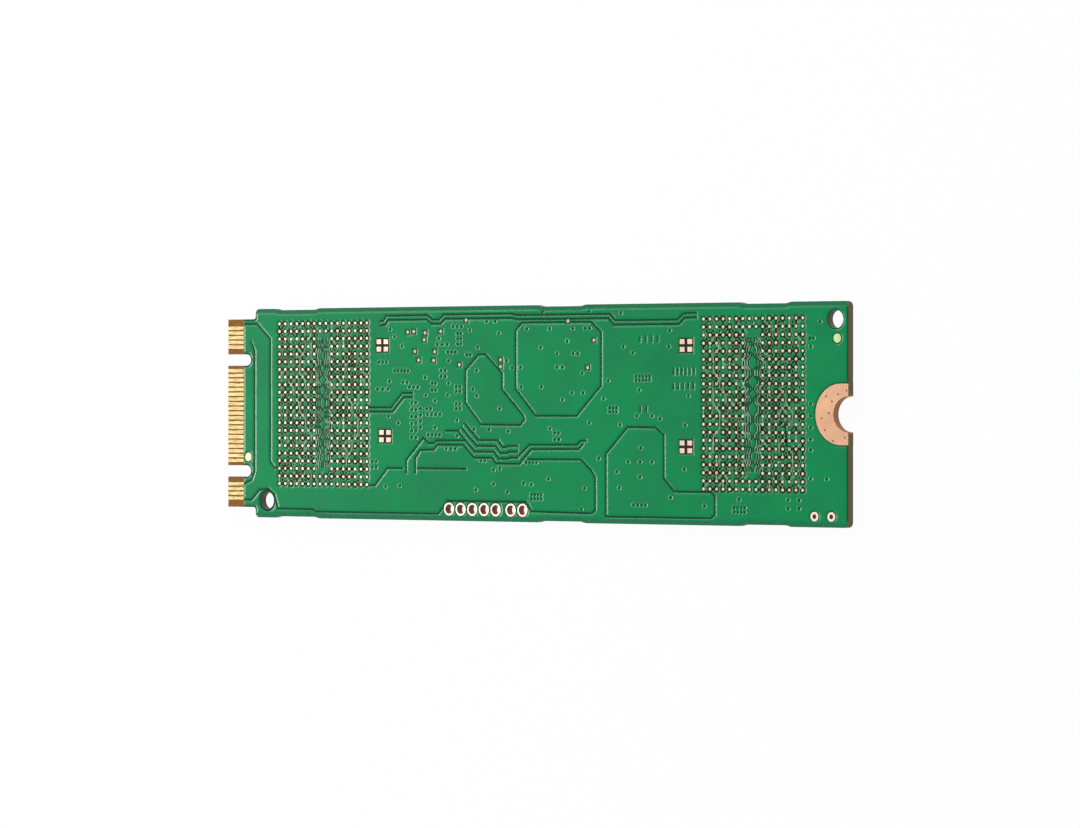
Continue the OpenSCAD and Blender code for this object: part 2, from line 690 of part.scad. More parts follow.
module screw_ring() {
    color("#e8ac86")
        linear_extrude(metal_t)
            difference() {
                intersection() {
                    ring_outline_2d(0);
                    bare_card_2d();
                }
                ring_vias_2d();
            }
}

module screw_ring_bare_side() {
    translate([0, 0, bare_face])
        screw_ring();
}

module screw_ring_chip_side() {
    below_chip_side()
        screw_ring();
}

// Plating of one hole: a tube through the card with a flat rim on each face
module hole_plating(hole_d, rim_d) {
    color("#f0dccb")
        rotate_extrude()
            polygon([[hole_d / 2, chip_face - metal_t], [rim_d / 2, chip_face - metal_t],
                     [rim_d / 2, chip_face], [hole_d / 2 + plating_t, chip_face],
                     [hole_d / 2 + plating_t, bare_face], [rim_d / 2, bare_face],
                     [rim_d / 2, bare_face + metal_t], [hole_d / 2, bare_face + metal_t]]);
}

module header_hole_plating() {
    for (spot = header_holes)
        translate(spot)
            hole_plating(header_hole_d, header_rim_d);
}

module supply_hole_plating() {
    for (spot = supply_holes)
        translate(spot)
            hole_plating(supply_hole_d, supply_rim_d);
}

// Puts a flat or solid child at each spot, turned where the spot says so
module at_spots(spots) {
    for (spot = spots)
        translate([spot[0], spot[1]])
            rotate(spot[2])
                children();
}

// Two pads under a part of length l and width w
module pad_pair_2d(l, w, rim) {
    for (end = [-1, 1])
        translate([end * (l / 2 + pad_reach - l * terminal_share), 0])
            square([2 * l * terminal_share + 2 * rim, w + 2 * pad_reach + 2 * rim], center = true);
}

module coil_places() {
    for (spot = coil_spots)
        translate(spot)
            children();
}

module chip_side_pads_2d(rim) {
    at_spots(small_cap_spots)
        pad_pair_2d(cap_l, cap_w, rim);
    at_spots(resistor_spots)
        pad_pair_2d(cap_l, cap_w, rim);
    at_spots(bulk_spots)
        pad_pair_2d(bulk_l, bulk_w, rim);
    coil_places()
        pad_pair_2d(coil_l, coil_w, rim);
    translate(crystal_at)
        for (x = [-1, 1], y = [-1, 1])
            translate([x * crystal_l, y * crystal_w] * crystal_pad_out)
                square([crystal_l, crystal_w] * crystal_pad_share + [rim, rim] * 2, center = true);
}

// Leads along the chosen sides of a square chip
module leads_2d(s, count, turns) {
    for (turn = turns)
        rotate(turn)
            for (i = [0:count - 1])
                translate([s / 2 - lead_l / 2, (i - (count - 1) / 2) * lead_pitch])
                    square([lead_l, lead_w], center = true);
}

module package_windows_2d() {
    rim = 0.4;
    for (x = [flash_left_x, flash_right_x])
        field_2d([x, flash_y]);
    translate(controller_at)
        square(controller_s - 2 * rim, center = true);
    translate(memory_at)
        square([memory_l - 2 * rim, memory_w - 2 * rim], center = true);
    translate(power_at)
        square(power_s + 2 * pad_rim, center = true);
    for (spot = regulator_spots)
        translate(spot)
            square(regulator_s + 2 * pad_rim, center = true);
}

module ground_copper_chip_side() {
    hole_rim = 0.25;
    color("#1a8552")
        below_chip_side()
            linear_extrude(film_t)
                difference() {
                    copper_area_2d();
                    box_2d(left, -tongue_half, left + contact_l + metal_t, tongue_half);
                    package_windows_2d();
                    chip_side_pads_2d(pad_rim);
                    tooling_holes_2d(hole_rim);
                    discs_2d(header_holes, header_rim_d + 2 * test_rim);
                    discs_2d(supply_holes, supply_rim_d + 2 * test_rim);
                    ring_outline_2d(test_rim);
                }
}

module solder_pads_chip_side() {
    color("#c9c9c4")
        below_chip_side()
            linear_extrude(seat)
                chip_side_pads_2d(0);
}

// A flash package: one moulded block with a shallow dimple at its first ball
module flash_package(x) {
    dimple_d = 0.9;
    dimple_depth = 0.06;
    dimple_in = 1.2;
    color("#1c1d1f")
        translate([x, flash_y, 0])
            difference() {
                translate([-flash_l / 2, -flash_w / 2, 0])
                    cube([flash_l, flash_w, flash_t]);
                translate([dimple_in - flash_l / 2, flash_w / 2 - dimple_in, -past])
                    cylinder(d = dimple_d, h = past + dimple_depth);
            }
}

module ball_field(spots) {
    color("#c8c8c8")
        below_chip_side()
            for (spot = spots)
                translate(spot)
                    cylinder(d = ball_d, h = ball_h);
}

module flash_balls(x) {
    ball_field([for (spot = land_spots) [x, flash_y] + spot]);
}

// The controller: a square carrier with a smaller moulded block on it
module controller_package() {
    color("#222326")
        below_chip_side(ball_h)
            translate(controller_at) {
                translate([0, 0, (controller_t - mould_t) / 2])
                    cube([controller_s, controller_s, controller_t - mould_t], center = true);
                translate([0, 0, controller_t - mould_t / 2])
                    cube([controller_s - 2 * controller_step, controller_s - 2 * controller_step,
                          mould_t], center = true);
            }
}

module controller_balls() {
    middle = (controller_balls_side - 1) / 2;
    ball_field([for (i = [-middle:middle], j = [-middle:middle])
        if (max(abs(i), abs(j)) > middle - controller_ball_rows)
            controller_at + controller_ball_pitch * [i, j]]);
}

module memory_package() {
    color("#1c1d1f")
        below_chip_side(ball_h)
            translate(memory_at)
                translate([-memory_l / 2, -memory_w / 2, 0])
                    cube([memory_l, memory_w, memory_t]);
}

module memory_balls() {
    columns = (memory_ball_columns - 1) / 2;
    rows = (memory_ball_rows - 1) / 2;
    ball_field([for (i = [-columns:columns], j = [-rows:rows])
        if (abs(i) > columns - memory_ball_group)
            memory_at + memory_ball_pitch * [i, j]]);
}

// A flat chip whose leads lie in notches round its lower edge
module leadless_chip(s, t, count, turns) {
    translate([0, 0, seat])
        difference() {
            translate([-s / 2, -s / 2, 0])
                cube([s, s, t - seat]);
            translate([0, 0, -past])
                linear_extrude(past + lead_t)
                    leads_2d(s, count, turns);
        }
}

module leads(s, count, turns) {
    linear_extrude(seat + lead_t)
        leads_2d(s, count, turns);
}

module power_chip() {
    color("#26272a")
        below_chip_side()
            translate(power_at)
                leadless_chip(power_s, power_t, power_leads_side, four_sides);
}

module power_chip_leads() {
    color("#cfcfcb")
        below_chip_side()
            translate(power_at)
                leads(power_s, power_leads_side, four_sides);
}

module regulator_bodies() {
    color("#26272a")
        below_chip_side()
            for (spot = regulator_spots)
                translate(spot)
                    leadless_chip(regulator_s, regulator_t, regulator_leads_side, two_sides);
}

module regulator_leads() {
    color("#cfcfcb")
        below_chip_side()
            for (spot = regulator_spots)
                translate(spot)
                    leads(regulator_s, regulator_leads_side, two_sides);
}

// The body of a two-ended part, between its metal terminals
module end_capped_body(l, w, t) {
    body_l = l * (1 - 2 * terminal_share);
    translate([-body_l / 2, -w / 2, seat])
        cube([body_l, w, t]);
}

module end_terminals(l, w, t) {
    terminal_l = l * terminal_share;
    for (x = [-l / 2, l / 2 - terminal_l])
        translate([x, -w / 2, seat])
            cube([terminal_l, w, t]);
}

module inductor_bodies() {
    color("#3a3b3e")
        below_chip_side()
            coil_places()
                end_capped_body(coil_l, coil_w, coil_t);
}

module inductor_terminals() {
    color("#c9c9c4")
        below_chip_side()
            coil_places()
                end_terminals(coil_l, coil_w, coil_t);
}

module crystal_base() {
    color("#b9ad97")
        below_chip_side()
            translate([crystal_at[0] - crystal_l / 2, crystal_at[1] - crystal_w / 2, seat])
                cube([crystal_l, crystal_w, crystal_t]);
}

module crystal_lid() {
    lid_rim = 0.12;
    color("#d6d7d8")
        below_chip_side()
            translate([crystal_at[0] - crystal_l / 2 + lid_rim,
                       crystal_at[1] - crystal_w / 2 + lid_rim, seat + crystal_t])
                cube([crystal_l - 2 * lid_rim, crystal_w - 2 * lid_rim, crystal_lid_t]);
}

module bulk_capacitor_bodies() {
    color("#a8825a")
        below_chip_side()
            at_spots(bulk_spots)
                end_capped_body(bulk_l, bulk_w, bulk_t);
}

module bulk_capacitor_terminals() {
    color("#c9c9c4")
        below_chip_side()
            at_spots(bulk_spots)
                end_terminals(bulk_l, bulk_w, bulk_t);
}

module small_capacitor_bodies() {
    color("#b08a60")
        below_chip_side()
            at_spots(small_cap_spots)
                end_capped_body(cap_l, cap_w, cap_t);
}

module small_capacitor_terminals() {
    color("#c9c9c4")
        below_chip_side()
            at_spots(small_cap_spots)
                end_terminals(cap_l, cap_w, cap_t);
}

module resistor_bodies() {
    color("#1d1d1f")
        below_chip_side()
            at_spots(resistor_spots)
                end_capped_body(cap_l, cap_w, resistor_t);
}

module resistor_terminals() {
    color("#c9c9c4")
        below_chip_side()
            at_spots(resistor_spots)
                end_terminals(cap_l, cap_w, resistor_t);
}

circuit_board();
ground_copper_bare_side();
signal_tracks_bare_side();
contacts_bare_side();
contacts_chip_side();
flash_lands([flash_left_x, flash_y]);  // flash_lands_left
flash_lands([flash_right_x, flash_y]);  // flash_lands_right
probe_pads();
test_pads();
fiducial_marks();
screw_ring_bare_side();
screw_ring_chip_side();
header_hole_plating();
supply_hole_plating();
ground_copper_chip_side();
solder_pads_chip_side();
flash_package(flash_left_x);  // flash_package_left
flash_package(flash_right_x);  // flash_package_right
flash_balls(flash_left_x);  // flash_balls_left
flash_balls(flash_right_x);  // flash_balls_right
controller_package();
controller_balls();
memory_package();
memory_balls();
power_chip();
power_chip_leads();
inductor_bodies();
inductor_terminals();
regulator_bodies();
regulator_leads();
crystal_base();
crystal_lid();
bulk_capacitor_bodies();
bulk_capacitor_terminals();
small_capacitor_bodies();
small_capacitor_terminals();
resistor_bodies();
resistor_terminals();
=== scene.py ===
"""Finishes a gumstick solid state drive for rendering: solder mask over its copper, bare metal,
moulded packages and soldered parts, on a pale floor under soft light."""
import math
import random

import bpy
import numpy as np
from bpy.props import FloatProperty, FloatVectorProperty, IntProperty, PointerProperty
from mathutils import Matrix, Vector, geometry, kdtree


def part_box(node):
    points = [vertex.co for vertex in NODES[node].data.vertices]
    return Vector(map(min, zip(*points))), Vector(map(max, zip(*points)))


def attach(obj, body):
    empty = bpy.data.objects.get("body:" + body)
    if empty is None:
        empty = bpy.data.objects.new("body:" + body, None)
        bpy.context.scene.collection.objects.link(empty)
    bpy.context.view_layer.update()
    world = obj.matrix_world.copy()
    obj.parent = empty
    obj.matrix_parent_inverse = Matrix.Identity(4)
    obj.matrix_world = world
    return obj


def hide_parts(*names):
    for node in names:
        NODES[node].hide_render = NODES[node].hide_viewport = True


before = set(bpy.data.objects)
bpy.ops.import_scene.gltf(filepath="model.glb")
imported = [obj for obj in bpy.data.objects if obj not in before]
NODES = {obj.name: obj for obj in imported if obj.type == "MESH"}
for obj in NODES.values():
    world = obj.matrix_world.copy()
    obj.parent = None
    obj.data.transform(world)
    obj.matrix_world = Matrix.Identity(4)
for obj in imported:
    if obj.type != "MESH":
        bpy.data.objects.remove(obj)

bl_info = {
    "name": "Gumstick solid state drive",
    "version": (1, 0, 0),
    "blender": (4, 5, 0),
    "location": "3D View > Sidebar > Card drive",
    "description": "Finishes a bare card drive: mask, copper, contacts, packages and small parts",
    "category": "Object",
}

MM = 0.001
CARD_LOW, CARD_HIGH = [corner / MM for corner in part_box("circuit_board")]
CHIP_FACE, BARE_FACE = CARD_LOW.z, CARD_HIGH.z
CARD_MIDDLE, CARD_HALF = (CHIP_FACE + BARE_FACE) / 2, (BARE_FACE - CHIP_FACE) / 2
FILM_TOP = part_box("ground_copper_bare_side")[1].z / MM
FILM_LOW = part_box("ground_copper_chip_side")[0].z / MM
METAL_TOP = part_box("flash_lands_left")[1].z / MM
# the notch wall lies within this reach of the middle of the card's end
NOTCH_REACH = 1.9
GLASS_PLY = 0.2
# sizes of the source's round holes in the copper, by which the outlines are told apart
CAD_VIA_D = 0.3
TOOLING_RIM_D = 2.3
# how far the ink runs into a tooling hole's rim, as a share of its radius
TOOLING_CREEP = 0.12
VIA_SIDES = 10
# least divisor at a corner of an offset line, which holds back a sharp corner's reach
SHARPEST = 0.6
# points on the mask's slope, each with its share of the run and of the rise
SLOPE_STEPS = ((0.5, 0.55), (1.0, 1.0))
# the mask between close openings is too narrow for a full slope, so it gets one step at this share
NARROW_STEP = 0.3
# distance between the points of a level line round a land field
GUIDE_STEP = 0.4
# the dark skin laid in the openings round pads, partly bare laminate and partly painted shade, and the
# widest opening that gets one
RESIN_AND_SHADE_SKIN = 0.002
WINDOW_SPAN = 2.2
# how far the mask over a fine track stands above the lands
TRACK_RISE = 0.006
# widths of the rounded edges: on plating and pads, on solder and the card, and on fired bodies
FINE_EDGE, SOFT_EDGE, FIRED_EDGE = 0.012, 0.02, 0.025
BALL_R = 0.21
FIELDS = ("flash_lands_left", "flash_lands_right")
LAND_PITCH = 0.8
LAND_COLUMNS, LAND_ROWS = 16, 22
FULL_ROWS = 2
# half the width of a field's middle, where the long tracks lie under ink
INKED_MIDDLE = LAND_PITCH * 1.15
# a land opening's radius varies between these shares
OPENING_SPREAD = (0.76, 1.1)
# distances of the long tracks and of the gaps beside them from a field's middle line
TRACK_LANES, GAP_LANES = (0.27, 0.57, 0.87), (0.12, 0.42, 0.72)
FLOOR_REACH = 3.0
WORLD_STRENGTH = 0.36
# name, place and size in metres, and power of each soft lamp, which looks at the drive
LAMPS = (("side", (0.10, 0.42, 0.55), (0.50, 0.40), 1.95),
         ("low_left", (-0.594, 0.03, 0.330), (0.36, 0.14), 3.0),
         ("high_left", (-0.43, 0.21, 0.51), (0.12, 0.10), 0.36))
# the photograph's view: where the camera's right, up and back point, its place over the middle of
# the bare face in millimetres, and its lens
CAMERA_AXES = ((0.7867, 0.0002, -0.6173), (-0.0017, 1.0, -0.0018), (0.6173, 0.0025, 0.7867))
CAMERA_PLACE = (332.0, 1.3, 420.5)
LENS = 175.99


def linear(code):
    """The linear colour of an sRGB hex code."""
    parts = [int(code[i:i + 2], 16) / 255 for i in (1, 3, 5)]
    return tuple(c / 12.92 if c <= 0.04045 else ((c + 0.055) / 1.055) ** 2.4 for c in parts)


def shade(colour, strength=1.0):
    """A four-part colour from a three-part one, made darker or lighter."""
    return (*[min(1.0, c * strength) for c in colour], 1.0)


def tones(colour, *strengths):
    """Several shades of one colour."""
    return [shade(colour, strength) for strength in strengths]


def colour_of(code, name, description):
    """A colour that the user may change."""
    return FloatVectorProperty(name=name, description=description, subtype="COLOR",
                               default=linear(code), min=0, max=1)


def size_of(millimetres, name, description):
    """A size that the user may change."""
    return FloatProperty(name=name, description=description, unit="LENGTH", precision=6,
                         default=millimetres * MM, min=0)


# Values a user would change

class DriveFinish(bpy.types.PropertyGroup):
    """Colours of the drive's finishes."""
    mask_on_copper: colour_of("#04874E", "Mask over copper", "Green solder mask over copper")
    mask_on_laminate: colour_of("#2A7450", "Mask over laminate", "Green mask where copper is cut away")
    laminate: colour_of("#72664A", "Laminate", "Bare glass epoxy on routed edges")
    tongue: colour_of("#8A5E30", "Tongue", "Bare glass epoxy between the contacts")
    edge_copper: colour_of("#BE7850", "Edge copper", "Copper left on the notch wall and edges")
    # partly painted shade: the dark brown of the openings is partly the bare laminate's colour and
    # partly shade
    dark_laminate_and_shade: colour_of("#2E1C12", "Laminate in openings", "Bare epoxy in the mask's openings")
    fine_track: colour_of("#8AB58E", "Fine tracks", "Thin mask over fine tracks")
    gold: colour_of("#CDB47C", "Gold", "Hard gold of the contacts")
    land: colour_of("#C6CCB0", "Lands", "Pale finish of the empty lands")
    probe_pad: colour_of("#D6C6B0", "Probe pads", "Pale finish of the probe pads")
    test_pad: colour_of("#B6B09A", "Test pads", "Dulled finish of the small test pads")
    copper: colour_of("#DAAA88", "Bare copper", "Bare copper ring at the screw notch")
    plating: colour_of("#F0DCCB", "Hole plating", "Plated rims of the holes")
    # painted shade: the plated copper inside a hole, coloured dark as if in shadow
    shaded_barrel: colour_of("#7A2A20", "Hole barrel", "Dark plated wall inside a hole")
    fiducial: colour_of("#CCE0A6", "Fiducial marks", "Bare metal of the fiducial marks")
    moulding: colour_of("#1B1C1E", "Moulding", "Black epoxy moulding of the packages")
    solder: colour_of("#C4C6C8", "Solder", "Reflowed solder and tin")
    ceramic: colour_of("#A9825A", "Capacitor ceramic", "Fired ceramic of the capacitors")
    ferrite: colour_of("#3A3A3D", "Ferrite", "Pressed ferrite of the inductors")
    overcoat: colour_of("#17181A", "Resistor overcoat", "Black glass over the resistors")
    crystal_base: colour_of("#A99C86", "Crystal base", "Ceramic base of the timing crystal")
    lid: colour_of("#CBCCCD", "Crystal lid", "Metal lid of the timing crystal")


class DriveSizes(bpy.types.PropertyGroup):
    """Sizes of the drive's fine surface detail."""
    slope: size_of(0.2, "Mask slope", "Run of the mask's slope down a copper edge")
    edge_drop: size_of(0.034, "Mask edge drop", "How far the mask falls over a copper edge")
    via_r: size_of(0.13, "Via opening", "Radius of the pit that the mask leaves in a via")
    via_sink: size_of(0.02, "Via sink", "How far the mask sinks at a via's pit")
    via_rise: size_of(0.15, "Via rise", "Run of the mask from a via's pit up to its crest")
    via_crest: size_of(0.014, "Via crest", "Height of the mask's crest round a via")
    crest_fall: size_of(0.07, "Crest fall", "Run of the crest's outer side round a via")
    opening_r: size_of(0.35, "Land opening", "Radius of the mask's opening round a land")
    land_r: size_of(0.175, "Land radius", "Radius of an empty land")
    test_pad_r: size_of(0.2, "Test pad radius", "Radius of a small test pad")
    corner: size_of(0.04, "Moulded corner", "Width of the bevel on moulded packages")
    ball_segments: IntProperty(name="Ball segments", description="Faces round a solder ball",
                               default=12, min=6, max=24)
    fan_out_seed: IntProperty(name="Fan-out seed", description="Seed of the copper between the lands",
                              default=7, min=0)


# Materials

NOISE, RANGE = "ShaderNodeTexNoise", "ShaderNodeMapRange"
MIX, MATH = "ShaderNodeMix", "ShaderNodeMath"


def add(tree, kind, wires=None, out=0, **settings):
    """Adds one node with its settings, sets or links its inputs, and gives one of its outputs."""
    node = tree.nodes.new(kind)
    for name, value in settings.items():
        setattr(node, name, value)
    for key, value in (wires or {}).items():
        if isinstance(value, bpy.types.NodeSocket):
            tree.links.new(value, node.inputs[key])
        else:
            node.inputs[key].default_value = value
    return node.outputs[out]


def start_material(name, **sockets):
    """A material with its shader's plain sockets set, its tree, its shader and its coordinates."""
    material = bpy.data.materials.new(name)
    material.use_nodes = True
    tree = material.node_tree
    shader = tree.nodes["Principled BSDF"]
    for key, value in sockets.items():
        shader.inputs[key.replace("_", " ")].default_value = value
    return material, tree, shader, add(tree, "ShaderNodeTexCoord", out="Object")


def patches(tree, place, size_mm, low=0.35, high=0.7, least=0.0, most=1.0, detail=3.0, stretch=None):
    """A pattern of soft patches size_mm across, least in some and most in others."""
    if stretch:
        place = add(tree, "ShaderNodeMapping", {"Vector": place, "Scale": stretch})
    pattern = add(tree, NOISE, {"Vector": place, "Scale": 1 / (size_mm * MM), "Detail": detail})
    return add(tree, RANGE, {"Value": pattern, "From Min": low, "From Max": high, "To Min": least,
                             "To Max": most})


def two_tone(tree, place, size_mm, one, other, **pattern):
    """One colour that turns to another in soft patches size_mm across."""
    factor = patches(tree, place, size_mm, **pattern)
    return add(tree, MIX, {0: factor, 6: one, 7: other}, 2, data_type="RGBA")


def relief(tree, shader, place, size_mm, depth_mm, only=1.0, **pattern):
    """Fine relief on a material, size_mm across and depth_mm deep, only where asked."""
    height = patches(tree, place, size_mm, 0.2, 0.8, **pattern)
    height = add(tree, MATH, {0: height, 1: only}, operation="MULTIPLY")
    normal = add(tree, "ShaderNodeBump", {"Height": height, "Distance": depth_mm * MM, "Strength": 0.5})
    tree.links.new(normal, shader.inputs["Normal"])


def mottled(name, size_mm, pair, pattern=None, flecks=None, satin=None, grain=None, **sockets):
    """A material of two colours in soft patches size_mm across. flecks lays another colour over
    them, satin varies its roughness and grain gives it fine relief."""
    material, tree, shader, place = start_material(name, **sockets)
    base = two_tone(tree, place, size_mm, *pair, **(pattern or {}))
    if flecks:
        base = two_tone(tree, place, one=base, **flecks)
    tree.links.new(base, shader.inputs["Base Color"])
    if satin:
        tree.links.new(patches(tree, place, **satin), shader.inputs["Roughness"])
    if grain:
        relief(tree, shader, place, **grain)
    return material


def solder_mask(finish):
    # Screen-printed green epoxy ink over rolled copper, cured to a gloss. Thin ink lets the copper
    # show through in soft clouds, and the print leaves a faint orange peel.
    green = finish.mask_on_copper
    dull = (green[0] + 0.004, green[1] * 0.92, green[2], 1.0)
    return mottled("Solder mask over copper", 4.0, (dull, shade(green, 1.08)),
                   dict(low=0.34, high=0.66, detail=4.0),
                   dict(size_mm=0.35, other=shade(green, 0.6), low=0.62, high=0.74, most=0.22),
                   grain=dict(size_mm=0.8, depth_mm=0.0015, detail=0.0),
                   Roughness=0.25, IOR=1.5, Specular_IOR_Level=0.18)


def fine_track_mask(finish):
    # The same ink, thin over a fine track: the copper below makes it lighter and yellower.
    return mottled("Mask over fine tracks", 0.9, tones(finish.fine_track, 0.5, 1.2), dict(high=0.65),
                   Roughness=0.3, IOR=1.5, Specular_IOR_Level=0.3)


def card_laminate(finish):
    # Woven glass in epoxy. The faces carry green mask, except on the tongue and inside the land
    # openings, where the brown resin shows, darkened there with painted shade. The routed edges show the
    # glass plies as thin layers.
    material, tree, shader, place = start_material("Glass epoxy laminate", Roughness=0.45, IOR=1.55)
    split = add(tree, "ShaderNodeSeparateXYZ", {"Vector": place}).node.outputs
    skin = 0.02
    routed = add(tree, MATH, {0: split[2], 1: CARD_MIDDLE * MM, 2: (CARD_HALF - skin) * MM},
                 operation="COMPARE")
    edge = routed_edge(tree, place, split[2], finish)
    base = masked_face(tree, place, split[1], finish)
    layers = []
    # the land openings get a dark brown that is partly bare laminate and partly painted shade
    opened_and_shaded = two_tone(tree, place, 0.4, *tones(finish.dark_laminate_and_shade, 0.7, 1.6), detail=2.0)
    for node in FIELDS:
        low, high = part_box(node)
        middle, reach = (low + high) / 2, (high - low) / 2 + Vector((0.1, 0.1, 0)) * MM
        across, along = [add(tree, MATH, {0: split[axis], 1: middle[axis], 2: reach[axis]},
                             operation="COMPARE") for axis in (0, 1)]
        inside = add(tree, MATH, {0: across, 1: along}, operation="MULTIPLY")
        # the long tracks in the middle of a field lie under ink
        inked = add(tree, MATH, {0: split[0], 1: middle.x, 2: INKED_MIDDLE * MM}, operation="COMPARE")
        bare = add(tree, MATH, {0: inside, 1: inked}, operation="GREATER_THAN")
        layers.append((bare, opened_and_shaded))
    mask_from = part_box("ground_copper_bare_side")[0].x
    on_tongue = add(tree, MATH, {0: split[0], 1: mask_from}, operation="LESS_THAN")
    tongue = two_tone(tree, place, 0.4, *tones(finish.tongue, 0.8, 1.2))
    for where, colour in (*layers, (on_tongue, tongue), (routed, edge)):
        base = add(tree, MIX, {0: where, 6: base, 7: colour}, 2, data_type="RGBA")
    tree.links.new(base, shader.inputs["Base Color"])
    # the ink on a face is hidden from the low light by the copper beside it, so it hardly shines
    shine = add(tree, RANGE, {"Value": routed, "To Min": 0.03, "To Max": 0.2})
    tree.links.new(shine, shader.inputs["Specular IOR Level"])
    relief(tree, shader, place, 0.09, 0.006, only=routed, detail=4.0, stretch=(1.0, 1.0, 5.0))
    return material


def routed_edge(tree, place, z, finish):
    """Colour of the routed edges: glass plies, and copper left on the notch wall and the top line."""
    light, dark, darkest = tones(finish.laminate, 1.25, 0.6, 0.45)
    edge = two_tone(tree, place, 0.09, dark, light, low=0.3, high=0.75, stretch=(1.0, 1.0, 5.0))
    # the wave texture multiplies its distance by 20, which leaves about one band to a ply
    plies = add(tree, "ShaderNodeTexWave",
                {"Vector": place, "Scale": 2 / (GLASS_PLY * MM) / math.tau, "Distortion": 1.5,
                 "Detail": 2.0, "Detail Scale": 4.0}, 1, wave_type="BANDS", bands_direction="Z")
    plies = add(tree, MATH, {0: plies, 1: 0.35}, operation="MULTIPLY")
    edge = add(tree, MIX, {0: plies, 6: edge, 7: darkest}, 2, data_type="RGBA")
    flat = add(tree, "ShaderNodeVectorMath", {0: place, 1: (1, 1, 0)}, operation="MULTIPLY")
    away = add(tree, "ShaderNodeVectorMath", {0: flat, 1: (CARD_HIGH.x * MM, 0, 0)}, "Value",
               operation="DISTANCE")
    on_notch = add(tree, MATH, {0: away, 1: NOTCH_REACH * MM}, operation="LESS_THAN")
    # copper covers most of the notch wall and a third of the top line
    on_notch = add(tree, MATH, {0: on_notch, 1: 0.9}, operation="MULTIPLY")
    on_top = add(tree, RANGE, {"Value": z, "From Min": (BARE_FACE - 0.2) * MM,
                               "From Max": (BARE_FACE - 0.08) * MM, "To Max": 0.35})
    coppered = add(tree, MATH, {0: on_notch, 1: on_top}, operation="MAXIMUM")
    return add(tree, MIX, {0: coppered, 6: edge, 7: shade(finish.edge_copper)}, 2, data_type="RGBA")


def masked_face(tree, place, y, finish):
    """Colour of the masked laminate: lighter on the margin, and dark in the narrow gaps between the
    copper, where the darkening is painted shade.
    """
    # the second pair of shades is painted shade for the narrow gaps, which the copper beside them shades
    margin, painted_gap_shade = [two_tone(tree, place, 0.4, *tones(finish.mask_on_laminate, *pair), detail=2.0)
                   for pair in ((0.9, 1.1), (0.3, 0.42))]
    # every masked face inside the margin lies in a narrow gap and gets the painted shade
    inner_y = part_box("ground_copper_bare_side")[1].y - 0.2 * MM
    inner = add(tree, MATH, {0: y, 1: 0.0, 2: inner_y}, operation="COMPARE")
    return add(tree, MIX, {0: inner, 6: margin, 7: painted_gap_shade}, 2, data_type="RGBA")


def hard_gold(finish):
    # Electroplated hard gold over nickel: a bright satin metal with faint lines from the plating
    # bath and the insertion test.
    along = dict(detail=2.0, stretch=(0.05, 1.0, 1.0))
    return mottled("Hard gold plating", 0.06, tones(finish.gold, 0.85, 1.06), along,
                   satin=dict(size_mm=0.06, least=0.24, most=0.4, **along),
                   grain=dict(size_mm=0.06, depth_mm=0.0008, **along), Metallic=1.0)


def pale_finish(name, colour, size_mm):
    # Immersion finish on a copper pad: pale, satin, and pinker on some pads than on others.
    pink = (colour[0], colour[1] * 0.84, colour[2] * 0.78, 1.0)
    return mottled(name, size_mm, (shade(colour, 1.04), pink), dict(low=0.42, high=0.6, detail=2.0),
                   grain=dict(size_mm=0.05, depth_mm=0.002), Metallic=0.75, Roughness=0.42)


def dulled_pad(finish):
    # A small pad that a test pin has touched: the pale finish with a dull film, darker in places.
    pale = finish.test_pad
    pink = (pale[0], pale[1] * 0.84, pale[2] * 0.8, 1.0)
    return mottled("Dulled test pad", 0.25, (pink, shade(pale, 1.06)),
                   grain=dict(size_mm=0.08, depth_mm=0.003), Metallic=0.4, Roughness=0.5)


def dark_resin_and_shade(finish):
    # Resin-rich laminate in the openings round bare pads, dull and dark brown; the darkness is partly
    # painted shade in the recessed openings.
    return mottled("Resin in openings", 0.3, tones(finish.dark_laminate_and_shade, 0.6, 1.5), dict(detail=2.0),
                   Roughness=0.55, IOR=1.55, Specular_IOR_Level=0.1)


def bare_copper(finish):
    # Rolled and brushed copper under a clear preservative: warm satin with soft tarnish clouds.
    light, tarnished, dark = tones(finish.copper, 1.04, 0.86, 0.7)
    brushed = dict(detail=2.0, stretch=(1.0, 0.1, 1.0))
    return mottled("Bare copper", 1.3, (light, tarnished), dict(detail=4.0),
                   dict(size_mm=0.05, other=dark, low=0.0, high=1.0, most=0.25, **brushed),
                   grain=dict(size_mm=0.05, depth_mm=0.0015, **brushed), Metallic=1.0, Roughness=0.42)


def hole_plating(finish):
    # Plated through-hole: a pale tinned rim on each face, and inside a dark, dull red barrel whose
    # darkness is painted shade over the plated copper.
    material, tree, shader, place = start_material("Plated through-hole", Metallic=0.7, Roughness=0.45)
    z = add(tree, "ShaderNodeSeparateXYZ", {"Vector": place}, 2)
    inside = add(tree, MATH, {0: z, 1: CARD_MIDDLE * MM, 2: CARD_HALF * MM}, operation="COMPARE")
    rim = two_tone(tree, place, 0.2, *tones(finish.plating, 0.88, 1.05))
    # below the faces the plating gets this dark colour, which is painted shade inside the hole
    shaded_barrel = two_tone(tree, place, 0.2, *tones(finish.shaded_barrel, 0.6, 1.3))
    base = add(tree, MIX, {0: inside, 6: rim, 7: shaded_barrel}, 2, data_type="RGBA")
    tree.links.new(base, shader.inputs["Base Color"])
    relief(tree, shader, place, 0.06, 0.002)
    return material


def fiducial_metal(finish):
    # Bare metal disc under a film of flux, which turns it a pale yellow green.
    return mottled("Fiducial metal", 0.4, tones(finish.fiducial, 0.9, 1.08), Metallic=0.5, Roughness=0.4)


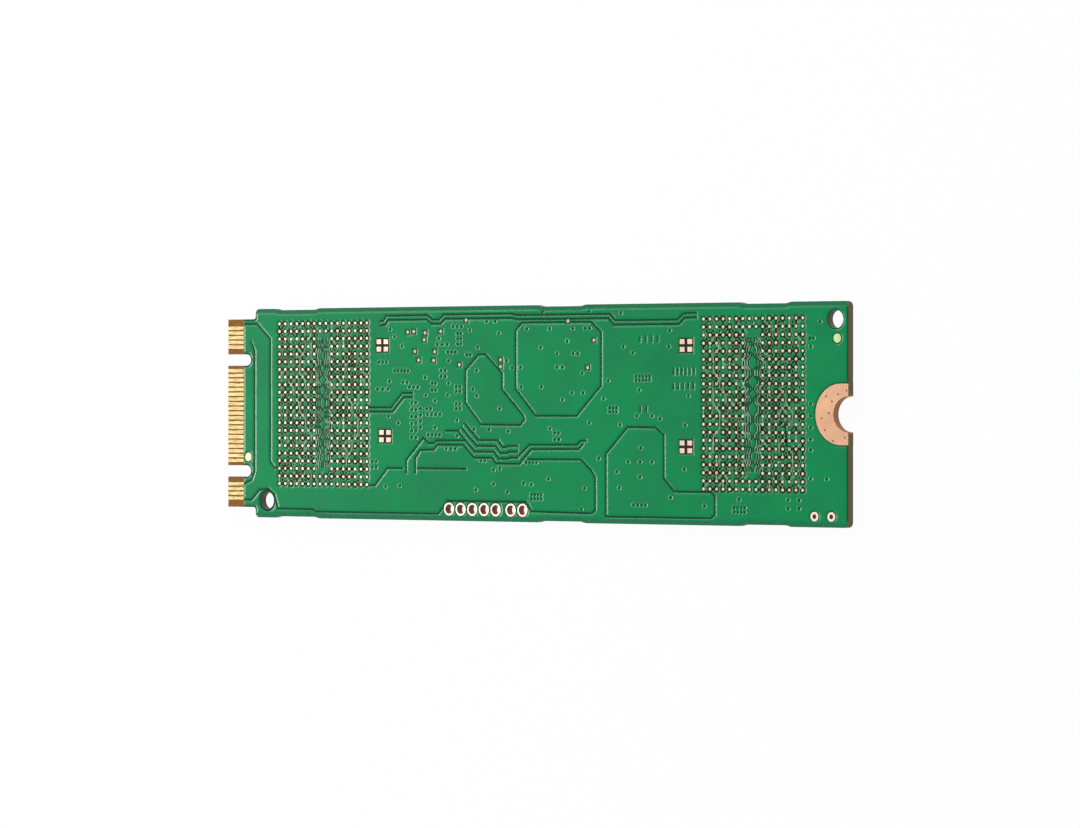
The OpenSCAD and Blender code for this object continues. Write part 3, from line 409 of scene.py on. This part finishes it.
def moulding_compound(finish):
    # Silica-filled black epoxy from a matt mould: a fine even grain with faint flow clouds.
    dark, light, speck = tones(finish.moulding, 0.8, 1.25, 2.2)
    return mottled("Epoxy moulding compound", 5.0, (dark, light), dict(low=0.3),
                   dict(size_mm=0.07, other=speck, low=0.0, high=1.0, most=0.3, detail=4.0),
                   dict(size_mm=0.07, low=0.3, least=0.48, most=0.66, detail=4.0),
                   dict(size_mm=0.07, depth_mm=0.006, detail=4.0), IOR=1.55)


def reflowed_solder(finish):
    # Tin alloy frozen from the melt: bright satin with a frosty, dendritic skin.
    frosty = dict(low=0.3, detail=4.0)
    return mottled("Reflowed solder", 0.06, tones(finish.solder, 0.8, 1.12), frosty,
                   satin=dict(size_mm=0.06, least=0.25, most=0.48, **frosty),
                   grain=dict(size_mm=0.06, depth_mm=0.003, detail=4.0), Metallic=1.0)


def fired_ceramic(name, colour, roughness=0.5):
    # Fired and tumbled ceramic: dull, slightly mottled, with a fine sintered grain.
    return mottled(name, 0.25, tones(colour, 0.85, 1.15), dict(low=0.3),
                   grain=dict(size_mm=0.05, depth_mm=0.004), Roughness=roughness, IOR=1.6)


def lid_metal(finish):
    # Rolled nickel-iron lid, seam welded: fine rolling lines and a soft sheen.
    rolled = dict(detail=2.0, stretch=(0.08, 1.0, 1.0))
    return mottled("Rolled lid metal", 0.05, tones(finish.lid, 0.75, 1.1), rolled,
                   grain=dict(size_mm=0.05, depth_mm=0.001, **rolled), Metallic=1.0, Roughness=0.28)


def dress(nodes, material, width, segments=2):
    """Gives CAD nodes a material, joins their loose faces and rounds their sharp edges to a width
    in millimetres."""
    for node in nodes:
        piece = NODES[node]
        slots = piece.data.materials
        if not slots:
            slots.append(None)
        for i in range(len(slots)):
            slots[i] = material
        weld = piece.modifiers.new("Joined faces", "WELD")
        weld.merge_threshold = 0.0002 * MM
        bevel = piece.modifiers.new("Rounded edges", "BEVEL")
        bevel.width = width * MM
        bevel.segments = segments
        bevel.limit_method = "ANGLE"
        bevel.angle_limit = math.radians(50)


# Outlines of the frame's flat faces

def joined_faces(node):
    """A CAD node's points in millimetres and its triangles, with doubles joined."""
    mesh = NODES[node].data
    mesh.calc_loop_triangles()
    spots = np.array([vertex.co for vertex in mesh.vertices], np.float32)
    corners = np.array([triangle.vertices for triangle in mesh.loop_triangles])
    spots, first = np.unique(np.round(spots / MM, 4), axis=0, return_inverse=True)
    return spots.astype(float), first.reshape(-1)[corners]


def free_edges(triangles):
    """The edges that belong to one triangle alone."""
    edges = {(t[i], t[(i + 1) % 3]) for t in triangles for i in range(3)}
    return [(a, b) for a, b in sorted(edges) if (b, a) not in edges]


def flat_outlines(node, z):
    """Closed outlines of a node's flat face at height z, in millimetres, in its triangles' order."""
    spots, faces = joined_faces(node)
    flat = np.all(np.abs(spots[faces][:, :, 2] - z) < 1e-3, axis=1)
    free = dict(free_edges(faces[flat].tolist()))
    loops = []
    while free:
        start = min(free)
        loop, spot = [start], free.pop(start)
        while spot != start:
            loop.append(spot)
            spot = free.pop(spot)
        loops.append(spots[loop][:, :2])
    return loops


def thinned(loop, tolerance=0.006):
    """A closed loop with fewer points, none of which lies further than tolerance from it."""
    def keep(first, last):
        if last - first < 2:
            return []
        way = run[last] - run[first]
        away = np.abs(np.cross(way, run[first + 1:last] - run[first])) / max(np.hypot(*way), 1e-9)
        worst = int(np.argmax(away)) + first + 1
        if away[worst - first - 1] < tolerance:
            return []
        return keep(first, worst) + [worst] + keep(worst, last)

    far = int(np.argmax(np.hypot(*(loop - loop[0]).T)))
    run = np.vstack([loop, loop[:1]])
    kept = [0] + keep(0, far) + [far] + keep(far, len(loop))
    return run[sorted(set(kept) - {len(loop)})]


def left_of(ahead):
    """Unit vectors to the left of a route's steps."""
    ahead = ahead / np.maximum(np.hypot(*ahead.T), 1e-9)[:, None]
    return np.stack([-ahead[:, 1], ahead[:, 0]], axis=1)


def corner_reach(before, after):
    """How far a route's corners move to its left for an offset of one, with sharp corners held."""
    return (before + after) / np.maximum(1 + np.sum(before * after, axis=1), SHARPEST)[:, None]


def beside(loop, distance):
    """A closed loop moved to its left by a distance."""
    left = left_of(np.roll(loop, -1, axis=0) - loop)
    return loop + distance * corner_reach(np.roll(left, 1, axis=0), left)


def band(route, width):
    """The outline of an even band along an open route."""
    route = np.array(route, float)
    left = left_of(np.diff(route, axis=0))
    reach = corner_reach(np.vstack([left[:1], left]), np.vstack([left, left[-1:]])) * width / 2
    return np.vstack([route - reach, (route + reach)[::-1]])


def turned(loop, way=1):
    """A loop turned to run counter-clockwise, or clockwise where way is -1."""
    x, y = loop.T
    area = np.sum(x * np.roll(y, -1) - y * np.roll(x, -1))
    return loop if area * way > 0 else loop[::-1]


def disc(centre, radius, sides):
    """A circle's points, counter-clockwise."""
    turn = np.arange(sides) / sides * math.tau
    return np.array(centre) + radius * np.stack([np.cos(turn), np.sin(turn)], axis=1)


def box_loop(middle, half_x, half_y):
    """A rectangle's corners, counter-clockwise."""
    corners = [(-half_x, -half_y), (half_x, -half_y), (half_x, half_y), (-half_x, half_y)]
    return np.array(middle) + np.array(corners)


def dotted(loop, step):
    """A closed loop with a point at each step along its sides."""
    return np.vstack([np.linspace(one, other, int(math.dist(one, other) / step), endpoint=False)
                      for one, other in zip(loop, np.roll(loop, -1, axis=0))])


def slabs(loops, low, high):
    """Points and faces of closed slabs between two heights, one for each loop."""
    spots, faces = [], []
    for loop in map(turned, loops):
        count = len(loop)
        ring = list(range(len(spots), len(spots) + count))
        spots += [(*spot, z) for z in (low, high) for spot in loop]
        faces += [ring[::-1], [i + count for i in ring]]
        faces += [[a, b, b + count, a + count] for a, b in zip(ring, ring[1:] + ring[:1])]
    return spots, faces


def is_round(loop, diameter):
    """True for a round hole of the given diameter."""
    return np.all(np.abs(np.ptp(loop, axis=0) - diameter) < 0.03)


def nearest(spots, targets):
    """How far each spot lies from the nearest target, or infinity if there is none."""
    if not targets:
        return np.full(len(spots), np.inf)
    tree = kdtree.KDTree(len(targets))
    for index, target in enumerate(targets):
        tree.insert((*target, 0.0), index)
    tree.balance()
    return np.array([tree.find((*spot, 0.0))[2] for spot in spots])


class Film:
    """A closed film of mask over copper. Its surface slopes down where it ends, over cut copper and
    round openings, as cured ink does over an etched edge, and rises to a low crest round a via."""

    def __init__(self, outlines, openings=(), fills=(), vias=(), guides=()):
        """outlines bound the film by turns, outside, hole, island and so on. fills are covered too,
        and openings and the pits of vias are cut from all of it. The film is level at its guides."""
        self.outlines = [thinned(loop) for loop in outlines]
        self.openings, self.fills, self.vias, self.guides = openings, fills, vias, guides

    def build(self, floor, top, sizes):
        """The film's points and faces. top is the height of the crests round vias."""
        slope, drop, crest = sizes.slope / MM, sizes.edge_drop / MM, sizes.via_crest / MM
        pit_r = sizes.via_r / MM
        crest_r = pit_r + sizes.via_rise / MM
        level_r = crest_r + sizes.crest_fall / MM
        level = top - crest if self.vias else top
        flat, kept = self.plan(slope, pit_r, (crest_r, level_r))
        rim = free_edges(kept)
        from_via = nearest(flat, self.vias)
        sloped = [edge for edge in rim if from_via[edge[0]] > pit_r + 0.01]
        lifts = np.interp(from_via, [pit_r, crest_r, level_r], [-sizes.via_sink / MM, crest, 0])
        heights = np.maximum(level + self.falls(flat, sloped, drop, slope) + lifts, level - drop)
        return self.close(flat, kept, rim, heights, floor)

    def plan(self, slope, pit_r, ring_radii):
        """The film's flat points and triangles, with lines where its surface bends."""
        spots, edges, faces = [], [], []
        pits = [disc(via, pit_r, VIA_SIDES) for via in self.vias]
        for loop in (*self.outlines, *self.fills, *self.openings, *pits):
            faces.append(list(range(len(spots), len(spots) + len(loop))))
            spots.extend(turned(loop))
        bends = [beside(loop, share * slope) for loop in self.outlines for share, _ in SLOPE_STEPS]
        bends += [beside(turned(loop, -1), NARROW_STEP * slope) for loop in self.openings]
        bends += self.guides
        bends += [disc(via, radius, VIA_SIDES) for via in self.vias for radius in ring_radii]
        for loop in bends:
            first, count = len(spots), len(loop)
            spots.extend(loop)
            edges.extend((first + i, first + (i + 1) % count) for i in range(count))
        found = geometry.delaunay_2d_cdt([Vector(spot) for spot in spots], edges, faces, 0, 1e-4, True)
        outlined = len(self.outlines)
        filled = outlined + len(self.fills)
        kept = []
        for triangle, inside in zip(found[2], found[5]):
            crossed = sum(i < outlined for i in inside)
            in_fill = crossed < len(inside)
            if (crossed % 2 or in_fill) and all(i < filled for i in inside):
                kept.append(triangle)
        return np.array([tuple(v) for v in found[0]]), kept

    @staticmethod
    def falls(flat, rim, drop, slope):
        """How far each point lies below the plain film, from its distance to the film's rim."""
        ends = np.array(rim)
        start, way = flat[ends[:, 0]], flat[ends[:, 1]] - flat[ends[:, 0]]
        counts = np.maximum(np.ceil(np.hypot(*way.T) / 0.03).astype(int), 1)
        away = nearest(flat, [origin + step * share for origin, step, count in zip(start, way, counts)
                              for share in np.arange(count) / count])
        away[ends.ravel()] = 0.0
        runs, rises = np.array([(0.0, 0.0), *SLOPE_STEPS]).T
        return -drop * (1 - np.interp(away, runs * slope, rises))

    @staticmethod
    def close(flat, kept, rim, heights, floor):
        """Points and faces of the closed film, with its flat underside and its walls."""
        used = np.unique(kept)
        count = len(used)
        upper, ends = np.searchsorted(used, kept), np.searchsorted(used, rim)
        walls = np.column_stack([ends[:, ::-1], ends + count])
        spots = np.vstack([np.column_stack([flat[used], heights[used]]),
                           np.column_stack([flat[used], np.full(count, floor)])])
        return spots, upper.tolist() + (upper[:, ::-1] + count).tolist() + walls.tolist()


def in_metres(spots):
    """Points in millimetres turned to metres."""
    return [tuple(float(c) * MM for c in spot) for spot in spots]


def new_object(name, data):
    """A new object in the scene, at the origin."""
    made = bpy.data.objects.new(name, data)
    bpy.context.scene.collection.objects.link(made)
    return made


def new_piece(name, shape, material, replaces=()):
    """Makes a finished piece from its points in millimetres and its faces."""
    mesh = bpy.data.meshes.new(name)
    mesh.from_pydata(in_metres(shape[0]), [], shape[1])
    mesh.materials.append(material)
    finish_piece(name, mesh, replaces)


def finish_piece(name, mesh, replaces=()):
    """Puts a mesh in the scene as a piece that rides on the drive."""
    piece = new_object(name, mesh)
    if replaces:
        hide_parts(*replaces)
    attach(piece, "root")


# Repeated shapes, made by geometry nodes

def repeat_tree(name, shape):
    """A tree that puts one small shape at each point. shape(tree, entry) adds the shape's nodes and
    gives its output."""
    tree = bpy.data.node_groups.new(name, "GeometryNodeTree")
    for label, kind in (("Geometry", "Geometry"), ("Radius", "Float"), ("Height", "Float"),
                        ("Sides", "Int"), ("Material", "Material")):
        tree.interface.new_socket(label, in_out="INPUT", socket_type="NodeSocket" + kind)
    tree.interface.new_socket("Geometry", in_out="OUTPUT", socket_type="NodeSocketGeometry")
    entry = tree.nodes.new("NodeGroupInput").outputs
    placed = add(tree, "GeometryNodeInstanceOnPoints",
                 {"Points": entry["Geometry"], "Instance": shape(tree, entry)})
    real = add(tree, "GeometryNodeRealizeInstances", {0: placed})
    finished = add(tree, "GeometryNodeSetMaterial", {"Geometry": real, "Material": entry["Material"]})
    tree.links.new(finished, tree.nodes.new("NodeGroupOutput").inputs[0])
    return tree


def low_pad(tree, entry):
    """A flat disc with a sloped rim, standing on its point."""
    inner = add(tree, MATH, {0: entry["Radius"], 1: 0.86}, operation="MULTIPLY")
    return add(tree, "GeometryNodeMeshCone",
               {"Vertices": entry["Sides"], "Radius Top": inner, "Radius Bottom": entry["Radius"],
                "Depth": entry["Height"]})


def squashed_ball(tree, entry):
    """A ball pressed flat to its height, standing on its point."""
    half, rings = [add(tree, MATH, {0: entry[label], 1: 0.5}, operation="MULTIPLY")
                   for label in ("Height", "Sides")]
    size = add(tree, "ShaderNodeCombineXYZ", {0: entry["Radius"], 1: entry["Radius"], 2: half})
    up = add(tree, "ShaderNodeCombineXYZ", {2: half})
    ball = add(tree, "GeometryNodeMeshUVSphere", {"Segments": entry["Sides"], "Rings": rings})
    flat = add(tree, "GeometryNodeTransform", {"Geometry": ball, "Scale": size, "Translation": up})
    return add(tree, "GeometryNodeSetShadeSmooth", {0: flat})


def repeated(name, tree, spots, radius, height, sides, material, replaces=()):
    """Runs a repeat tree on points in millimetres and keeps its result as a plain mesh."""
    points = bpy.data.meshes.new(name)
    points.from_pydata(in_metres(spots), [], [])
    carrier = new_object(name + "_points", points)
    made = carrier.modifiers.new("Repeat", "NODES")
    made.node_group = tree
    values = {"Radius": radius * MM, "Height": height * MM, "Sides": sides, "Material": material}
    for socket in tree.interface.items_tree:
        if socket.in_out == "INPUT" and socket.name in values:
            made[socket.identifier] = values[socket.name]
    graph = bpy.context.evaluated_depsgraph_get()
    mesh = bpy.data.meshes.new_from_object(carrier.evaluated_get(graph))
    carrier.modifiers.clear()
    bpy.data.objects.remove(carrier)
    mesh.name = name
    finish_piece(name, mesh, replaces)


# The lands and the copper between them

def field_middle(node):
    """The middle of a land field, in millimetres."""
    low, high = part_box(node)
    return (low.x + high.x) / 2 / MM, (low.y + high.y) / 2 / MM


def land_spot(column, row):
    """A land's place, seen from the middle of its field."""
    return ((column - (LAND_COLUMNS - 1) / 2) * LAND_PITCH, (row - (LAND_ROWS - 1) / 2) * LAND_PITCH)


def land_places():
    """Columns and rows of a field's lands. Between the full rows, the two middle columns are empty."""
    return [(column, row) for column in range(LAND_COLUMNS) for row in range(LAND_ROWS)
            if not FULL_ROWS <= row < LAND_ROWS - FULL_ROWS or abs(column - (LAND_COLUMNS - 1) / 2) > 1]


def serpentine(seed):
    """One long track that runs down a field's empty middle and bulges out and in by 45 degree jogs."""
    chance = random.Random(seed + 200)
    start, end = -6.7, 6.4
    y, shift, route = start, 0.0, [(0.0, start)]
    while y < end:
        y += chance.choice((0.2, 0.35, 0.6))
        route.append((shift, y))
        # it bulges further in the crowded rows
        reach = 0.42 if abs(y - 0.4) < 3.6 else 0.2
        aim = 0.0 if shift > reach / 2 else chance.uniform(0.6, 1.0) * reach
        y += abs(aim - shift)
        shift = aim
        route.append((shift, y))
    return route


def fan_out(middle, opening_r, seed):
    """Openings of one field: a ring round each land, cuts between lands and the long tracks' gaps."""
    chance = random.Random(seed)
    places = land_places()
    cut_from, cut_to, reach = 0.26, 0.54, 0.24
    openings = []
    for column, row in places:
        x, y = land_spot(column, row)
        openings.append(disc((x, y), opening_r * chance.uniform(*OPENING_SPREAD), 9))
        # the copper is cut most in the middle of a field, where this is 1, and least at its edges
        crowd = math.exp(-((x / 3.6) ** 2 + ((y - 0.5) / 5.0) ** 2))
        if (column + 1, row) in places and chance.random() < 0.6 + 0.4 * crowd:
            openings.append(band([(x + cut_from, y), (x + cut_to, y)], 0.26))
        if (column, row + 1) in places and chance.random() < 0.3 + 0.5 * crowd:
            openings.append(band([(x, y + cut_from), (x, y + cut_to)], 0.24))
        if (column + 1, row + 1) in places:
            x, y = x + LAND_PITCH / 2, y + LAND_PITCH / 2
            draw = chance.random()
            if draw < 0.34 + 0.2 * crowd:
                openings.append(disc((x, y), 0.14, 8))
            elif draw < 0.62 + 0.2 * crowd:
                lean = chance.choice((-1, 1)) * reach
                openings.append(band([(x - reach, y - lean), (x + reach, y + lean)], 0.15))
    route = serpentine(seed)
    openings += [band([(way * (x + lane), y) for x, y in route], 0.17)
                 for way in (-1, 1) for lane in GAP_LANES]
    return [loop + np.array(middle) for loop in openings]


def winding_track(chance, column):
    """A track that starts between two columns of lands and climbs by 45 degree jogs."""
    row = chance.randrange(2, LAND_ROWS - 8)
    x, y = [place + LAND_PITCH / 2 for place in land_spot(column, row)]
    route = [(x, y)]
    for _ in range(chance.randrange(2, 5)):
        y += LAND_PITCH * chance.choice((1, 2))
        route.append((x, y))
        lean = chance.choice((-1, 1)) * LAND_PITCH
        # it stays inside the field and out of its middle
        if 1.3 <= abs(x + lean) <= 6:
            x += lean
            y += abs(lean)
            route.append((x, y))
    return route


def fine_tracks(middle, seed):
    """Fine tracks of one field: stubs that leave the lands, and long ones that wind between them."""
    chance = random.Random(seed + 100)
    tracks = []
    for column, row in land_places():
        x, y = land_spot(column, row)
        if chance.random() < 0.65:
            way_x, way_y = chance.choice(((1, 1), (1, -1), (-1, 1), (-1, -1), (0, 1), (0, -1)))
            reach = chance.choice((0.36, 0.42, 0.62))
            tracks.append([(x + far * way_x, y + far * way_y) for far in (0.2, reach)])
    for column in chance.sample(range(1, LAND_COLUMNS - 1), 8):
        if abs(column - LAND_COLUMNS / 2) >= 2:
            tracks.append(winding_track(chance, column))
    half_x, half_y = land_spot(LAND_COLUMNS - 1, LAND_ROWS - 1)
    tracks = [route for route in tracks
              if all(abs(x) < half_x + 0.2 and abs(y) < half_y + 0.2 for x, y in route)]
    # the long tracks show only in some of their stretches
    bulging = serpentine(seed)
    tracks += [[(way * (x + lane), y) for x, y in pair] for way in (-1, 1) for lane in TRACK_LANES
               for pair in zip(bulging, bulging[1:]) if chance.random() < 0.55]
    return [band(route, 0.12) + np.array(middle) for route in tracks]


# Operators

class MakeCard(bpy.types.Operator):
    """Gives the laminate, its screw ring and its holes their finishes"""
    bl_idname = "drive.card"
    bl_label = "Card, ring and holes"

    def execute(self, context):
        finish = context.scene.drive_finish
        dress(["circuit_board"], card_laminate(finish), SOFT_EDGE, 1)
        dress(["screw_ring_bare_side", "screw_ring_chip_side"], bare_copper(finish), FINE_EDGE, 1)
        dress(["header_hole_plating", "supply_hole_plating"], hole_plating(finish), FINE_EDGE, 1)
        dress(["fiducial_marks"], fiducial_metal(finish), FINE_EDGE, 1)
        return {"FINISHED"}


def bare_side_film(sizes):
    """The film over the bare side's copper, with its vias and both land fields' openings."""
    outlines, vias, openings, fills, guides = [], [], [], [], []
    for loop in flat_outlines("ground_copper_bare_side", FILM_TOP):
        if is_round(loop, CAD_VIA_D):
            vias.append(loop.mean(axis=0))
        elif is_round(loop, TOOLING_RIM_D):
            # the ink runs up close to the tooling holes
            outlines.append(loop + (loop.mean(axis=0) - loop) * TOOLING_CREEP)
        else:
            outlines.append(loop)
    half_x, half_y = land_spot(LAND_COLUMNS - 1, LAND_ROWS - 1)
    margin = sizes.opening_r * OPENING_SPREAD[1] / MM + sizes.slope / MM
    level_line = dotted(box_loop((0, 0), half_x + margin, half_y + margin), GUIDE_STEP)
    for number, node in enumerate(FIELDS):
        middle = field_middle(node)
        fills.append(box_loop(middle, half_x, half_y))
        openings += fan_out(middle, sizes.opening_r / MM, sizes.fan_out_seed + number)
        guides.append(level_line + np.array(middle))
    return Film(outlines, openings, fills, vias, guides)


class MakeMask(bpy.types.Operator):
    """Lays the green mask over the copper of both sides, with its slopes and openings"""
    bl_idname = "drive.mask"
    bl_label = "Solder mask over copper"

    def execute(self, context):
        finish, sizes = context.scene.drive_finish, context.scene.drive_sizes
        ink = solder_mask(finish)
        new_piece("mask_over_copper_bare_side", bare_side_film(sizes).build(BARE_FACE, FILM_TOP, sizes),
                  ink, ["ground_copper_bare_side"])

        fine = [loop for number, node in enumerate(FIELDS)
                for loop in fine_tracks(field_middle(node), sizes.fan_out_seed + number)]
        new_piece("mask_over_fine_tracks", slabs(fine, BARE_FACE, METAL_TOP + TRACK_RISE),
                  fine_track_mask(finish))

        tracks = Film(flat_outlines("signal_tracks_bare_side", FILM_TOP))
        new_piece("mask_over_tracks_bare_side", tracks.build(BARE_FACE, FILM_TOP, sizes), ink,
                  ["signal_tracks_bare_side"])

        # the chip side's film is built face up and then turned over
        far = Film([loop[::-1] for loop in flat_outlines("ground_copper_chip_side", FILM_LOW)])
        spots, faces = far.build(0.0, CHIP_FACE - FILM_LOW, sizes)
        spots[:, 2] = CHIP_FACE - spots[:, 2]
        new_piece("mask_over_copper_chip_side", (spots, [face[::-1] for face in faces]), ink,
                  ["ground_copper_chip_side"])
        return {"FINISHED"}


class MakeContacts(bpy.types.Operator):
    """Plates the contacts of both sides with hard gold"""
    bl_idname = "drive.contacts"
    bl_label = "Gold contacts"

    def execute(self, context):
        gold = hard_gold(context.scene.drive_finish)
        dress(["contacts_bare_side", "contacts_chip_side"], gold, FINE_EDGE)
        return {"FINISHED"}


class MakeLands(bpy.types.Operator):
    """Sets the empty lands, the probe pads and the test pads"""
    bl_idname = "drive.lands"
    bl_label = "Lands and pads"

    def execute(self, context):
        finish, sizes = context.scene.drive_finish, context.scene.drive_sizes
        pale = pale_finish("Pale land finish", finish.land, 1.6)
        tree = repeat_tree("Land on each point", low_pad)
        height = METAL_TOP - BARE_FACE
        for node in FIELDS:
            middle = field_middle(node)
            spots = [(*(np.array(land_spot(*place)) + middle), BARE_FACE) for place in land_places()]
            repeated(node + "_finished", tree, spots, sizes.land_r / MM, height, 16, pale,
                     [node])
        dress(["probe_pads"], pale_finish("Pale probe pad finish", finish.probe_pad, 0.7), FINE_EDGE, 1)
        spots = [(*spot, BARE_FACE) for spot in centres_of("test_pads")]
        repeated("test_pads_finished", tree, spots, sizes.test_pad_r / MM, height, 14,
                 dulled_pad(finish), ["test_pads"])
        # a dark skin over the openings round pads, partly bare laminate and partly painted shade
        new_piece("resin_and_shade_in_openings", slabs(pad_windows(), BARE_FACE, BARE_FACE + RESIN_AND_SHADE_SKIN),
                  dark_resin_and_shade(finish))
        return {"FINISHED"}


def pad_windows():
    """The mask's closed openings round bare pads."""
    centres = [spot for node in ("probe_pads", "test_pads", "fiducial_marks")
               for spot in centres_of(node)]
    windows = []
    for loop in flat_outlines("ground_copper_bare_side", FILM_TOP):
        low, high = loop.min(axis=0), loop.max(axis=0)
        holds = any(low[0] < x < high[0] and low[1] < y < high[1] for x, y in centres)
        if holds and np.all(high - low < WINDOW_SPAN):
            windows.append(thinned(loop))
    return windows


def centres_of(node):
    """The middles of a node's separate solids, seen from above."""
    spots, faces = joined_faces(node)
    parent = list(range(len(spots)))

    def root(i):
        while parent[i] != i:
            parent[i] = parent[parent[i]]
            i = parent[i]
        return i

    for a, b, c in faces.tolist():
        parent[root(a)] = root(b)
        parent[root(b)] = root(c)
    groups = {}
    for i in range(len(spots)):
        groups.setdefault(root(i), []).append(i)
    return [tuple((spots[members].min(0) + spots[members].max(0))[:2] / 2)
            for _, members in sorted(groups.items())]


class MakeBalls(bpy.types.Operator):
    """Replaces the packages' solder columns by squashed balls"""
    bl_idname = "drive.balls"
    bl_label = "Solder balls"

    def execute(self, context):
        solder = reflowed_solder(context.scene.drive_finish)
        tree = repeat_tree("Ball on each point", squashed_ball)
        for node in ("flash_balls_left", "flash_balls_right", "controller_balls", "memory_balls"):
            low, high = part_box(node)
            spots = [(x, y, low.z / MM) for x, y in centres_of(node)]
            repeated(node + "_finished", tree, spots, BALL_R, (high.z - low.z) / MM,
                     context.scene.drive_sizes.ball_segments, solder, [node])
        dress(["solder_pads_chip_side", "power_chip_leads", "regulator_leads", "inductor_terminals",
               "bulk_capacitor_terminals", "small_capacitor_terminals", "resistor_terminals"], solder,
              SOFT_EDGE)
        return {"FINISHED"}


class MakePackages(bpy.types.Operator):
    """Gives the packages and small parts of the chip side their bodies' finishes"""
    bl_idname = "drive.packages"
    bl_label = "Packages and small parts"

    def execute(self, context):
        finish, sizes = context.scene.drive_finish, context.scene.drive_sizes
        dress(["flash_package_left", "flash_package_right", "controller_package", "memory_package",
               "power_chip", "regulator_bodies"], moulding_compound(finish), sizes.corner / MM)
        for nodes, material in (
                (["inductor_bodies"], fired_ceramic("Pressed ferrite", finish.ferrite, 0.6)),
                (["bulk_capacitor_bodies", "small_capacitor_bodies"],
                 fired_ceramic("Capacitor ceramic", finish.ceramic)),
                (["resistor_bodies"], fired_ceramic("Resistor overcoat", finish.overcoat, 0.35)),
                (["crystal_base"], fired_ceramic("Crystal ceramic", finish.crystal_base)),
                (["crystal_lid"], lid_metal(finish))):
            dress(nodes, material, FIRED_EDGE)
        return {"FINISHED"}


class MakeStage(bpy.types.Operator):
    """Makes the floor, the lamps, the surroundings and the camera"""
    bl_idname = "drive.stage"
    bl_label = "Floor, light and camera"

    def execute(self, context):
        scene = context.scene
        mesh = bpy.data.meshes.new("floor")
        corners = box_loop((0, 0), FLOOR_REACH, FLOOR_REACH).tolist()
        mesh.from_pydata([(*spot, 0) for spot in corners], [], [range(4)])
        mesh.materials.append(self.pale_floor())
        new_object("floor", mesh)
        scene.world = bpy.data.worlds.new("surroundings")
        scene.world.use_nodes = True
        background = scene.world.node_tree.nodes["Background"].inputs
        background["Strength"].default_value = WORLD_STRENGTH
        background["Color"].default_value = (1, 1, 1, 1)
        for name, spot, size, power in LAMPS:
            data = bpy.data.lights.new(name, "AREA")
            data.shape = "RECTANGLE"
            data.size, data.size_y = size
            data.energy = power
            lamp = new_object(name, data)
            lamp.location = spot
            lamp.rotation_euler = (-Vector(spot)).to_track_quat("-Z", "Y").to_euler()
        data = bpy.data.cameras.new("camera")
        data.lens = LENS
        scene.camera = new_object("camera", data)
        place = Vector(CAMERA_PLACE) + Vector((0, 0, BARE_FACE))
        turn = Matrix(CAMERA_AXES).transposed().to_4x4()
        scene.camera.matrix_world = Matrix.Translation(place * MM) @ turn
        scene.view_settings.view_transform = "Standard"
        return {"FINISHED"}

    @staticmethod
    def pale_floor():
        # Matt white card. The camera and mirror rays see it white, and the shadow stays in it.
        material, tree, shader, _ = start_material("Pale floor", Roughness=0.9)
        shader.inputs["Base Color"].default_value = shade(linear("#F4F4F4"))
        light = tree.nodes.new("ShaderNodeLightPath").outputs
        mirrored = add(tree, MATH, {0: light["Is Glossy Ray"], 1: light["Is Transmission Ray"]},
                       operation="MAXIMUM")
        seen = add(tree, MATH, {0: light["Is Camera Ray"], 1: mirrored}, operation="MAXIMUM")
        seen = add(tree, MATH, {0: seen, 1: 0.96}, operation="MULTIPLY")
        white = add(tree, "ShaderNodeEmission")
        mixed = add(tree, "ShaderNodeMixShader", {0: seen, 1: shader.outputs[0], 2: white})
        tree.links.new(mixed, tree.nodes["Material Output"].inputs["Surface"])
        return material


class DrivePanel(bpy.types.Panel):
    """Lists the steps that finish the drive"""
    bl_idname = "VIEW3D_PT_card_drive"
    bl_label = "Card drive"
    bl_space_type = "VIEW_3D"
    bl_region_type = "UI"
    bl_category = "Card drive"

    def draw(self, context):
        layout = self.layout
        for step in STEPS:
            layout.operator(step.bl_idname)
        for group in (context.scene.drive_finish, context.scene.drive_sizes):
            box = layout.box()
            for name in group.__annotations__:
                box.prop(group, name)


STEPS = (MakeCard, MakeMask, MakeContacts, MakeLands, MakeBalls, MakePackages, MakeStage)
CLASSES = (DriveFinish, DriveSizes, *STEPS, DrivePanel)


def register():
    for kind in CLASSES:
        bpy.utils.register_class(kind)
    bpy.types.Scene.drive_finish = PointerProperty(type=DriveFinish)
    bpy.types.Scene.drive_sizes = PointerProperty(type=DriveSizes)


def unregister():
    del bpy.types.Scene.drive_finish
    del bpy.types.Scene.drive_sizes
    for kind in reversed(CLASSES):
        bpy.utils.unregister_class(kind)


def main():
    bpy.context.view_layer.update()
    register()
    for step in STEPS:
        getattr(bpy.ops.drive, step.bl_idname.split(".")[1])()


if __name__ == "__main__":
    main()
